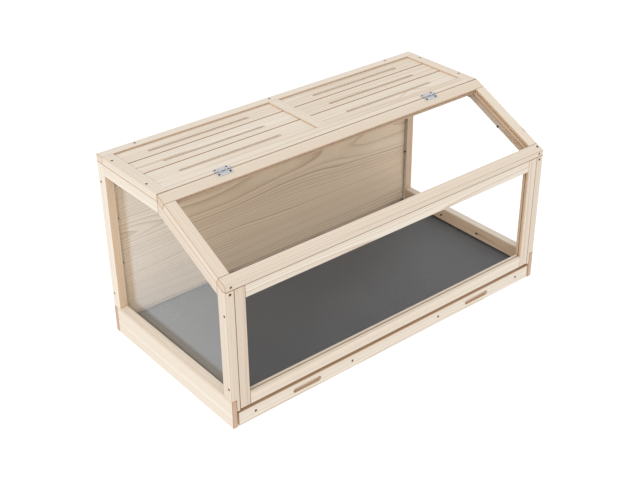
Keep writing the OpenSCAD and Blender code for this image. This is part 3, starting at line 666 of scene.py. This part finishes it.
@dataclass
class Timber(Part):
    """One planed bar or board, with its grain laid along it. The pith's place across it is in millimetres."""

    node: str
    run: Run
    pith: tuple[float, float]
    cut_from: float = 0.0
    finish: SoftwoodFinish = FIR
    easing: Easing = Easing(0.85 * MM)
    end_share: float = 0.3
    bore_room: float = 8 * MM
    slot_room: float = 14 * MM
    slot_share: float = 0.16
    joint_share: float = 0.3
    seam_share: float = 0.55
    end_seam: float = 0.3
    end_plane: float = 494 * MM
    aged_share: float = 0.15
    joint_area: float = 150 * MM * MM
    # Upright faces with less free room than this, but more than slot_room, get the painted inner shade.
    inner_shade_room: float = 1.2
    seam_reach: float = 2.4 * MM
    across_grain: float = 0.8
    upright_below: float = 0.7

    def lay_grain(self, data: Mesh) -> None:
        """Writes each point's place in the log, and marks the faces that cut the grain across."""
        low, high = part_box(self.node)
        axes = np.array(self.run.value)
        places = np.empty(len(data.vertices) * 3, np.float32)
        data.vertices.foreach_get("co", places)
        local = (places.reshape(-1, 3) - np.array((low + high) / 2)) @ axes.T
        local += (self.cut_from, self.pith[0] * MM, self.pith[1] * MM)
        grain = data.attributes.new("grain", "FLOAT_VECTOR", "POINT")
        grain.data.foreach_set("vector", local.astype(np.float32).ravel())
        along = Vector(axes[0])
        mark(
            data, "end_grain",
            lambda face: self.end_share * (abs(along.dot(face.normal)) > self.across_grain),
        )

    def bore_shade_share(self, room: float, area: float) -> float:
        """Returns how much painted shade a face gets, by the room before it: a bore, a joint or a slot."""
        if room < self.bore_room:
            return self.joint_share if area > self.joint_area else 1.0
        return self.slot_share if room < self.slot_room else 0.0

    def seam_strength(self, place: Vector) -> float:
        """Returns how much painted shade a joint's edge gets, which is less on the house's two outer ends."""
        return self.seam_share * (self.end_seam if abs(place.x) > self.end_plane else 1.0)

    def mark_painted_shade(self, data: Mesh) -> None:
        """Marks painted shade: on walls of slots and bores, on faces that look into the house, and on edges
        along a joint.
        """
        rooms = [SURROUNDINGS.room(face.center, face.normal, self.inner_shade_room) for face in data.polygons]
        upright = [abs(face.normal.z) < self.upright_below for face in data.polygons]
        mark(data, "painted_bore_shade", lambda face: self.bore_shade_share(rooms[face.index], face.area))
        mark(
            data, "painted_inner_shade",
            lambda face: upright[face.index] and self.slot_room < rooms[face.index] < self.inner_shade_room,
        )
        eased = data.attributes["eased"].data
        # Eased faces that touch another part get the painted seam shade.
        at_joint = [
            eased[face.index].value > 0 and SURROUNDINGS.touches(face.center, self.node, self.seam_reach)
            for face in data.polygons
        ]
        mark(data, "painted_seam_shade", lambda face: self.seam_strength(face.center) * at_joint[face.index])
        mark(data, "aged", lambda face: self.aged_share)

    def build(self, workshop: Workshop, body: str) -> None:
        """Makes the bar and marks its faces."""
        name = f"{self.node}_timber"
        piece = workshop.hand_over(name, self.easing.shape(self.node), self.finish, body, [self.node])
        self.lay_grain(piece.data)
        self.mark_painted_shade(piece.data)


@dataclass
class Sheet(Part):
    """One flat clear sheet, whose cut edges run square to its face."""

    node: str
    face_axis: tuple[float, float, float]
    finish: ClearSheetFinish
    easing: Easing = Easing(0.35 * MM)
    square_below: float = 0.8

    def build(self, workshop: Workshop, body: str) -> None:
        """Makes the sheet and marks its cut edges."""
        name = f"{self.node}_sheet"
        piece = workshop.hand_over(name, self.easing.shape(self.node), self.finish, body, [self.node])
        normal = Vector(self.face_axis)
        mark(piece.data, "end_grain", lambda face: abs(normal.dot(face.normal)) < self.square_below)


def lathe(mesh: BMesh, profile: Sequence[tuple[float, float]], steps: int) -> list[list[BMVert]]:
    """Turns a profile round the Z axis into a skin, closed where the profile meets the axis.

    Args:
        mesh: where it is added.
        profile: (radius, height) points, in order.
        steps: how many flats go round.

    Returns:
        The corners of each ring.
    """
    rings: list[list[BMVert]] = []
    for radius, height in profile:
        count = 1 if radius == 0 else steps
        angles = (FULL_TURN * k / steps for k in range(count))
        rings.append([mesh.verts.new((radius * math.cos(a), radius * math.sin(a), height)) for a in angles])
    for below, above in zip(rings, rings[1:]):
        for k in range(steps):
            after = (k + 1) % steps
            turns = ((below, k), (below, after), (above, after), (above, k))
            mesh.faces.new(list(dict.fromkeys(ring[turn % len(ring)] for ring, turn in turns)))
    return rings


def extrude_outline(mesh: BMesh, outline: Sequence[Vector], along: Vector) -> None:
    """Extrudes a closed outline along a vector into a closed solid.

    Args:
        mesh: where it is added.
        outline: the corners in order.
        along: how far and which way.
    """
    near = [mesh.verts.new(point) for point in outline]
    far = [mesh.verts.new(point + along) for point in outline]
    mesh.faces.new(list(reversed(near)))
    mesh.faces.new(far)
    wall(mesh, near, far)


# --- Screws ---


@dataclass(frozen=True)
class ScrewSeat:
    """Where one CAD screw stands: the middle of its head's top, the way it points out, and its sizes."""

    top: Vector
    outward: Vector
    head_radius: float
    shank_radius: float
    length: float


@dataclass
class CrossHeadScrews(Part):
    """A group of like screws with a cross recess, one on each solid of a CAD node."""

    node: str
    domed: bool = False
    finish: SteelFinish = DARK_STEEL
    steps: int = 28
    recess_reach: float = 0.62
    recess_half_width: float = 0.13
    recess_depth: float = 0.42
    recess_floor: float = 0.55
    domed_drop: float = 0.30
    flat_drop: float = 0.06
    end_slice: float = 0.01 * MM

    def seats(self) -> list[ScrewSeat]:
        """Measures each solid of the CAD node and returns where its screw stands."""
        mesh = bmesh.new()
        mesh.from_mesh(frame["nodes"][self.node].data)
        bmesh.ops.remove_doubles(mesh, verts=mesh.verts, dist=WELD)
        found, seen = [], set()
        for start in mesh.verts:
            if start in seen:
                continue
            seen.add(start)
            island, todo = [], [start]
            while todo:
                vert = todo.pop()
                island.append(vert)
                for edge in vert.link_edges:
                    other = edge.other_vert(vert)
                    if other not in seen:
                        seen.add(other)
                        todo.append(other)
            found.append(self.seat_of(np.array([vert.co for vert in island], float)))
        mesh.free()
        return found

    @staticmethod
    def seat_of(points: np.ndarray) -> ScrewSeat:
        """Finds one screw's seat from the corners of its CAD solid."""
        middle = (points.min(axis=0) + points.max(axis=0)) / 2
        axis = np.linalg.svd(points - points.mean(axis=0))[2][0]
        along = (points - middle) @ axis
        radial = points - middle - np.outer(along, axis)
        radial -= radial[along > along.max() - CrossHeadScrews.end_slice].mean(axis=0)
        size = np.linalg.norm(radial, axis=1)
        head = size > 0.9 * size.max()
        if along[head].mean() < 0:
            axis, along = -axis, -along
        face = points[along > along.max() - CrossHeadScrews.end_slice]
        return ScrewSeat(
            top=Vector((face.min(axis=0) + face.max(axis=0)) / 2),
            outward=Vector(axis),
            head_radius=float(size.max()),
            shank_radius=float(size[along < along.min() + CrossHeadScrews.end_slice].max()),
            length=float(np.ptp(along)),
        )

    def cross(self, radius: float, height: float, shrink: float = 1.0) -> list[Vector]:
        """Returns the twelve corners of the cross recess at a height."""
        reach, half = radius * self.recess_reach * shrink, radius * self.recess_half_width * shrink
        arm = [Vector((reach, -half, height)), Vector((reach, half, height)), Vector((half, half, height))]
        quarters = [Matrix.Rotation(quarter * FULL_TURN / 4, 3, "Z") for quarter in range(4)]
        return [turn @ corner for turn in quarters for corner in arm]

    def add_screw(self, mesh: BMesh, seat: ScrewSeat) -> None:
        """Adds one screw to a mesh where its seat is."""
        one = bmesh.new()
        radius, shank = seat.head_radius, seat.shank_radius
        drop = radius * (self.domed_drop if self.domed else self.flat_drop)
        under = min(0.62 * radius, 0.3 * seat.length)
        # Out over the head's rounded rim, in under the head, then down the shank to the point.
        profile = [
            (0.80 * radius, 0.0), (0.93 * radius, -0.35 * drop), (radius, -drop),
            (0.98 * radius, -drop - 0.05 * radius), (shank, -under),
            (shank, -0.88 * seat.length), (0.45 * shank, -0.97 * seat.length), (0, -seat.length),
        ]
        rim = lathe(one, profile, self.steps)[0]
        mouth = [one.verts.new(point) for point in self.cross(radius, 0.0)]
        floor_corners = self.cross(radius, -self.recess_depth * radius, self.recess_floor)
        floor = [one.verts.new(point) for point in floor_corners]
        mouth_edges = [one.edges.new(pair) for pair in zip(mouth, [*mouth[1:], mouth[0]])]
        rim_edges = [one.edges.get(pair) for pair in zip(rim, [*rim[1:], rim[0]])]
        bmesh.ops.triangle_fill(one, edges=mouth_edges + rim_edges, normal=(0, 0, 1), use_beauty=True)
        wall(one, mouth, floor)
        one.faces.new(floor)
        bmesh.ops.recalc_face_normals(one, faces=one.faces)
        turn = seat.outward.to_track_quat("Z", "Y").to_matrix().to_4x4()
        one.transform(Matrix.Translation(seat.top) @ turn)
        pour(mesh, one)

    def build(self, workshop: Workshop, body: str) -> None:
        """Makes the whole group as one piece."""
        mesh = bmesh.new()
        for seat in self.seats():
            self.add_screw(mesh, seat)
        workshop.hand_over(f"{self.node}_cross_head", mesh, self.finish, body, [self.node], smooth=True)


# --- Hinges ---


@dataclass(frozen=True)
class ButtHinge:
    """Sizes of one pressed butt hinge, in the pin's own frame: the pin along X and the leaf towards +Y."""

    length: float = 44 * MM
    leaf_width: float = 14.5 * MM
    thickness: float = 1.2 * MM
    knuckle_radius: float = 2.6 * MM
    bore_radius: float = 1.26 * MM
    pin_radius: float = 1.2 * MM
    pin_head_radius: float = 1.9 * MM
    pin_head_height: float = 0.8 * MM
    knuckles: int = 5
    gap: float = 0.3 * MM
    leaf_start: float = 3.0 * MM
    corner_radius: float = 2.0 * MM
    easing: float = 0.18 * MM
    arc_steps: int = 36
    roll_start: float = math.radians(-100)
    roll_end: float = math.radians(-390)
    corner_steps: int = 6
    sharper_than: float = math.radians(50)
    round_steps: int = 28

    def rolled_outline(self, base: float, reach: float) -> list[tuple[float, float]]:
        """Outline of a strip that lies on the wood and rolls once round the pin.

        Args:
            base: how far the wood's face lies below the pin's axis.
            reach: where the strip meets the leaf.

        Returns:
            (y, z) points in order.
        """
        whole = self.roll_end - self.roll_start
        sweep = [self.roll_start + whole * k / self.arc_steps for k in range(self.arc_steps + 1)]
        outside = [(self.knuckle_radius * math.cos(a), self.knuckle_radius * math.sin(a)) for a in sweep]
        inside = [(self.bore_radius * math.cos(a), self.bore_radius * math.sin(a)) for a in reversed(sweep)]
        top = -base + self.thickness
        return [(reach, -base), (0.5 * MM, -base), *outside, *inside, (0.7 * MM, top), (reach, top)]

    def leaf_outline(self) -> list[tuple[float, float]]:
        """(x, y) points of the flat leaf, with its two outer corners rounded."""
        half, r = self.length / 2 - self.gap / 2, self.corner_radius
        points = [(-half, self.leaf_start), (half, self.leaf_start)]
        for centre_x, first in ((half - r, 0.0), (-half + r, 90.0)):
            for k in range(self.corner_steps + 1):
                angle = math.radians(first + 90.0 * k / self.corner_steps)
                points.append((centre_x + r * math.cos(angle), self.leaf_width - r + r * math.sin(angle)))
        return points

    def leaf(self, first_knuckle: int, base: float) -> BMesh:
        """Makes one leaf with its knuckles.

        Args:
            first_knuckle: 0 for the leaf that holds the outer knuckles, 1 for the other.
            base: how far the wood's face lies below the pin's axis.

        Returns:
            The leaf's mesh.
        """
        mesh = bmesh.new()
        plate = [Vector((x, y, -base)) for x, y in self.leaf_outline()]
        extrude_outline(mesh, plate, Vector((0, 0, self.thickness)))
        pitch = self.length / self.knuckles
        outline = self.rolled_outline(base, self.leaf_start + 0.2 * MM)
        for k in range(first_knuckle, self.knuckles, 2):
            x = -self.length / 2 + k * pitch + self.gap / 2
            ring = [Vector((x, y, z)) for y, z in outline]
            extrude_outline(mesh, ring, Vector((pitch - self.gap, 0, 0)))
        bmesh.ops.recalc_face_normals(mesh, faces=mesh.faces)
        sharp = [e for e in mesh.edges if e.calc_face_angle_signed(0.0) > self.sharper_than]
        round_off(mesh, sharp, self.easing)
        return mesh

    def pin(self) -> BMesh:
        """Makes the pin with its two domed heads, along Z."""
        mesh = bmesh.new()
        half, head, tall = self.length / 2, self.pin_head_radius, self.pin_head_height
        rises = [math.radians(15 * k) for k in range(6)]
        dome = [(head * math.cos(a), half + tall * math.sin(a)) for a in rises]
        upper = [(self.pin_radius, half), *dome, (0.0, half + tall)]
        lower = [(r, -z) for r, z in reversed(upper)]
        lathe(mesh, [*lower, *upper], self.round_steps)
        return mesh


# --- Sub-assemblies ---


Row = tuple[str, Run, tuple[float, float], float]


class Assembly(ABC):
    """A group of pieces that ride on one body."""

    body = "house"

    @abstractmethod
    def parts(self) -> Iterator[Part]:
        """Yields the pieces in the order that they are made."""

    def build(self, workshop: Workshop) -> None:
        """Makes every piece.

        Args:
            workshop: what turns meshes into pieces.
        """
        for part in self.parts():
            part.build(workshop, self.body)


class Roof(Assembly):
    """The fixed flat roof: a frame of rails with two bays of slotted slats."""

    rails: tuple[Row, ...] = (
        ("roof_rear_rail", Run.ALONG_X, (34, -22), 0.4),
        ("roof_front_rail", Run.ALONG_X, (-8, -62), 1.9),
        ("roof_mid_rail", Run.ALONG_Y, (26, -38), 5.2),
        ("roof_left_rail", Run.ALONG_Y, (-30, 34), 3.1),
        ("roof_right_rail", Run.ALONG_Y, (38, -26), 7.7),
    )
    slats: tuple[tuple[str, float], ...] = (
        ("left_front", 0.0), ("right_front", 0.2), ("left_mid", 0.05),
        ("right_mid", 0.3), ("left_rear", 0.15), ("right_rear", 0.35),
    )

    def parts(self) -> Iterator[Part]:
        """Yields the rails, the slats with their ages, and the screws."""
        for row in self.rails:
            yield Timber(*row, seam_share=0.8)
        for count, (place, age) in enumerate(self.slats):
            row_number, side_number = divmod(count, 2)
            pith = (14 - 13 * row_number, -46 - 9 * side_number)
            yield Timber(
                f"roof_slat_{place}", Run.ALONG_X, pith, 11.0 + 1.7 * count, easing=Easing(1.2 * MM),
                joint_share=0.6, seam_share=0.95, aged_share=age,
            )
        yield CrossHeadScrews("roof_screws")


class SideFrames(Assembly):
    """The two side frames: posts, rails and sill round a clear sheet."""

    members: tuple[Row, ...] = (
        ("rear_post", Run.ALONG_Z, (-44, 21), 0.0),
        ("front_post", Run.ALONG_Z, (38, 30), 0.6),
        ("side_top_rail", Run.ALONG_Y, (42, 24), 0.1),
        ("side_slope_rail", Run.DOWN_SLOPE, (46, -18), 0.6),
        ("side_sill", Run.ALONG_Y, (-22, -48), 0.2),
    )

    def parts(self) -> Iterator[Part]:
        """Yields the left frame, the right one with its grain mirrored, and the screws."""
        for number, (side, sheet) in enumerate((("left", SIDE_SHEET), ("right", FRONT_SHEET))):
            for count, (member, run, (u, v), age) in enumerate(self.members):
                cut_from = 30.0 + 2.3 * count + 13.0 * number
                yield Timber(f"{member}_{side}", run, (u * (1 - 2 * number), v), cut_from, aged_share=age)
            yield Sheet(f"side_pane_{side}", (1, 0, 0), sheet)
        yield CrossHeadScrews("post_screws")
        yield CrossHeadScrews("pane_screws", domed=True)


class BaseAndBack(Assembly):
    """The base boards that stand on the ground, the tray's runners and the back board."""

    boards: tuple[Row, ...] = (
        ("base_board_left", Run.ALONG_Y, (24, 6), 61.0),
        ("base_board_right", Run.ALONG_Y, (-28, -9), 64.4),
        ("base_board_rear", Run.ALONG_X, (-26, 12), 66.8),
        ("tray_runner_left", Run.ALONG_Y, (31, 24), 70.1),
        ("tray_runner_right", Run.ALONG_Y, (-36, 20), 72.9),
    )

    def parts(self) -> Iterator[Part]:
        """Yields the boards and their screws."""
        for row in self.boards:
            yield Timber(*row, end_share=1.0)
        yield Timber("back_board", Run.ALONG_X, (58, -18), 80.6, finish=VENEER)
        yield CrossHeadScrews("base_screws")


class FrontWindow(Assembly):
    """The fixed front window. Each bar's row ends with its age."""

    bars: tuple[tuple[str, Run, tuple[float, float], float, float], ...] = (
        ("window_stile_left", Run.ALONG_Z, (6, 52), 91.0, 1.0),
        ("window_stile_right", Run.ALONG_Z, (-12, 46), 93.6, 0.5),
        ("window_top_rail", Run.ALONG_X, (48, 13), 95.1, 0.1),
        ("window_bottom_rail", Run.ALONG_X, (40, -22), 97.7, 0.1),
    )

    def parts(self) -> Iterator[Part]:
        """Yields the bars and the sheet."""
        for *row, age in self.bars:
            yield Timber(*row, seam_share=0.85, aged_share=age)
        yield Sheet("window_pane", (0, 1, 0), FRONT_SHEET)


class Lid(Assembly):
    """The sloping lid, which turns on the two hinges. Each bar's row ends with its age."""

    body = "lid"
    bars: tuple[tuple[str, Run, tuple[float, float], float, float], ...] = (
        ("lid_top_rail", Run.ALONG_X, (-38, -34), 110.2, 0.6),
        ("lid_bottom_rail", Run.ALONG_X, (52, -28), 113.9, 0.5),
        ("lid_left_rail", Run.DOWN_SLOPE, (33, -30), 117.3, 0.3),
        ("lid_right_rail", Run.DOWN_SLOPE, (-41, -25), 119.5, 0.2),
    )

    def parts(self) -> Iterator[Part]:
        """Yields the bars, the sheet and the screws."""
        for *row, age in self.bars:
            yield Timber(*row, aged_share=age)
        yield Sheet("lid_pane", Run.DOWN_SLOPE.value[2], FRONT_SHEET)
        yield CrossHeadScrews("lid_screws")


@dataclass
class Liner(Part):
    """The thin floor sheet, flat below and slightly uneven on top, with a darker band marked along its edges.
    """

    easing: float = 0.5 * MM
    cells: tuple[int, int] = (48, 24)
    band_width: float = 13 * MM
    ripple: float = 0.22 * MM

    def grid_lines(self, low: float, high: float, cells: int) -> list[float]:
        """Returns the places of the grid lines, with the band's narrow cells at both ends."""
        inner_low, inner_high = low + self.band_width, high - self.band_width
        inner = [inner_low + (inner_high - inner_low) * k / cells for k in range(cells + 1)]
        return [low + self.easing, *inner, high - self.easing]

    def sag(self, x: float, y: float) -> float:
        """Returns how far the face lies below its highest level."""
        wave = math.sin(9.1 * x + 2.3 * math.sin(7.7 * y)) * math.sin(8.3 * y + 1.9 * math.sin(5.1 * x))
        return self.ripple * (1 - wave) / 2

    def shape(self) -> BMesh:
        """Returns the sheet as a closed mesh."""
        low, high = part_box("floor_liner")
        mesh = bmesh.new()
        edge_band = mesh.faces.layers.float.new("edge_band")
        columns = self.grid_lines(low.x, high.x, self.cells[0])
        rows = self.grid_lines(low.y, high.y, self.cells[1])
        top = [[mesh.verts.new((x, y, high.z - self.sag(x, y))) for x in columns] for y in rows]
        last_column, last_row = len(columns) - 2, len(rows) - 2
        for j in range(last_row + 1):
            for i in range(last_column + 1):
                face = mesh.faces.new([top[j][i], top[j][i + 1], top[j + 1][i + 1], top[j + 1][i]])
                face[edge_band] = float(i in (0, last_column) or j in (0, last_row))
        border = [*top[0], *(line[-1] for line in top[1:])]
        border += [*reversed(top[-1][:-1]), *(line[0] for line in reversed(top[1:-1]))]
        first, last = top[0][0].co, top[-1][-1].co
        ends_x, ends_y = {first.x: low.x, last.x: high.x}, {first.y: low.y, last.y: high.y}
        shoulder, foot = [], []
        for vert in border:
            x, y = ends_x.get(vert.co.x, vert.co.x), ends_y.get(vert.co.y, vert.co.y)
            shoulder.append(mesh.verts.new((x, y, high.z - self.easing - self.ripple)))
            foot.append(mesh.verts.new((x, y, low.z)))
        for upper, lower in ((border, shoulder), (shoulder, foot)):
            for side in wall(mesh, lower, upper):
                side[edge_band] = 1.0
        mesh.faces.new(foot)
        return mesh

    def build(self, workshop: Workshop, body: str) -> None:
        """Makes the sheet."""
        workshop.hand_over("floor_liner_sheet", self.shape(), SHEET_LINER, body, ["floor_liner"], smooth=True)


class FloorTray(Assembly):
    """The slide-out floor: a front board with finger pulls, a deck on battens and the liner."""

    body = "tray"

    def parts(self) -> Iterator[Part]:
        """Yields the front board, the deck, the battens, the liner and the screws."""
        # slot_share sets the painted shade in the finger pulls.
        yield Timber("tray_front", Run.ALONG_X, (37, 17), 130.4, slot_share=0.75)
        yield Timber("tray_deck", Run.ALONG_X, (12, -70), 133.0, finish=VENEER)
        for number, place in enumerate(("left_outer", "left_inner", "right_inner", "right_outer")):
            yield Timber(f"tray_batten_{place}", Run.ALONG_Y, (22 + 7 * number, -28), 135.0 + 1.9 * number)
        yield Liner()
        yield CrossHeadScrews("tray_screws")


@dataclass
class Hinges:
    """The two butt hinges between the roof and the lid."""

    sizes: ButtHinge = ButtHinge()
    sides: tuple[str, ...] = ("left", "right")

    def axis_place(self, side: str) -> Vector:
        """Returns the middle of one pin, from the joint's place and the hinge leaf's own box."""
        joint = next(j for j in frame["joints"] if j["name"] == "lid_hinge")
        low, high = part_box(f"roof_hinge_leaf_{side}")
        return Vector(((low.x + high.x) / 2, joint["pos_m"][1], joint["pos_m"][2]))

    def build(self, workshop: Workshop) -> None:
        """Makes the leaves, the pins and their screws.

        Args:
            workshop: what turns meshes into pieces.
        """
        roof_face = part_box("roof_front_rail")[1].z
        pins = bmesh.new()
        slope = math.asin(SLOPE_SIN)
        for side in self.sides:
            place = self.axis_place(side)
            lift = place.z - roof_face
            at_pin = Matrix.Translation(place)
            turned = at_pin @ Matrix.Rotation(slope, 4, "X") @ Matrix.Rotation(math.pi, 4, "Z")
            leaves = (
                ("house", f"roof_hinge_leaf_{side}", self.sizes.leaf(0, lift), at_pin),
                ("lid", f"lid_hinge_leaf_{side}", self.sizes.leaf(1, lift * math.cos(slope)), turned),
            )
            for body, node, leaf, placing in leaves:
                leaf.transform(placing)
                workshop.hand_over(f"{node}_pressed", leaf, ZINC, body, [node], smooth=True)
            pin = self.sizes.pin()
            pin.transform(at_pin @ Matrix.Rotation(math.pi / 2, 4, "Y"))
            pour(pins, pin)
        workshop.hand_over("hinge_pins_turned", pins, ZINC, "house", ["hinge_pins"], smooth=True)
        CrossHeadScrews("roof_hinge_screws", domed=True).build(workshop, "house")
        CrossHeadScrews("lid_hinge_screws", domed=True).build(workshop, "lid")


# --- Studio ---


@dataclass
class Studio:
    """A pale floor, soft light from the front left, and the camera."""

    floor_half: float = 80.0
    floor_colour: Colour = (0.45, 0.45, 0.45)
    floor_glow: float = 0.66
    sky: Colour = (1.0, 1.0, 1.0)
    sky_strength: float = 0.80
    key_direction: tuple[float, float, float] = (-0.61, -0.36, 0.70)
    key_strength: float = 1.5
    key_spread: float = math.radians(50)
    camera_place: tuple[float, float, float] = (-1.5759, -1.8843, 1.6517)
    azimuth: float = math.radians(39.26)
    elevation: float = math.radians(30.77)
    roll: float = math.radians(-0.50)
    lens: float = 62.74
    sensor: float = 36.0

    def build_camera(self) -> None:
        """Sets the camera at its viewing angle."""
        data = bpy.data.cameras.new("camera")
        data.lens, data.sensor_width = self.lens, self.sensor
        camera = show("camera", data)
        back = Vector((
            -math.sin(self.azimuth) * math.cos(self.elevation),
            -math.cos(self.azimuth) * math.cos(self.elevation),
            math.sin(self.elevation),
        ))
        level = Vector((math.cos(self.azimuth), -math.sin(self.azimuth), 0))
        up = back.cross(level)
        right = level * math.cos(self.roll) + up * math.sin(self.roll)
        up = back.cross(right)
        turn = Matrix((right, up, back)).transposed().to_4x4()
        camera.matrix_world = Matrix.Translation(Vector(self.camera_place)) @ turn
        bpy.context.scene.camera = camera

    def build_floor(self) -> None:
        """Makes the plain pale floor."""
        mesh = bmesh.new()
        corners = ((-1, -1), (1, -1), (1, 1), (-1, 1))
        mesh.faces.new([mesh.verts.new((self.floor_half * x, self.floor_half * y, 0)) for x, y in corners])
        data = bpy.data.meshes.new("studio_floor")
        mesh.to_mesh(data)
        mesh.free()
        floor = show("studio_floor", data)
        bench = Bench("studio_paper")
        place = bench.place()
        tooth = bench.noise(place, (300.0, 300.0, 300.0), detail=1.0)
        shader = bench.principled(
            base_color=self.floor_colour, roughness=0.95, specular_ior_level=0.0,
            emission_color=(1.0, 1.0, 1.0), emission_strength=self.floor_glow,
            normal=bench.bump(tooth, 0.02, 0.1 * MM),
        )
        data.materials.append(bench.finish(shader))

    def build_lights(self) -> None:
        """Makes the even sky and the broad soft key light."""
        world = bpy.data.worlds.new("studio_sky")
        bpy.context.scene.world = world
        world.use_nodes = True
        background = world.node_tree.nodes["Background"]
        background.inputs["Color"].default_value = (*self.sky, 1.0)
        background.inputs["Strength"].default_value = self.sky_strength
        light = bpy.data.lights.new("key_light", "SUN")
        light.energy, light.angle = self.key_strength, self.key_spread
        key = show("key_light", light)
        direction = Vector(self.key_direction).normalized()
        key.rotation_mode = "QUATERNION"
        key.rotation_quaternion = direction.to_track_quat("Z", "Y")

    def build(self) -> None:
        """Sets the whole studio up."""
        self.build_camera()
        self.build_floor()
        self.build_lights()
        bpy.context.scene.view_settings.view_transform = "Standard"


def main() -> None:
    """Builds the studio and every sub-assembly in order."""
    logging.basicConfig(level=logging.INFO, format="%(name)s: %(message)s")
    Studio().build()
    workshop = Workshop(Wardrobe())
    for assembly in (Roof(), SideFrames(), BaseAndBack(), FrontWindow(), Lid(), FloorTray(), Hinges()):
        LOG.info("building %s", type(assembly).__name__)
        assembly.build(workshop)


if __name__ == "__main__":
    main()
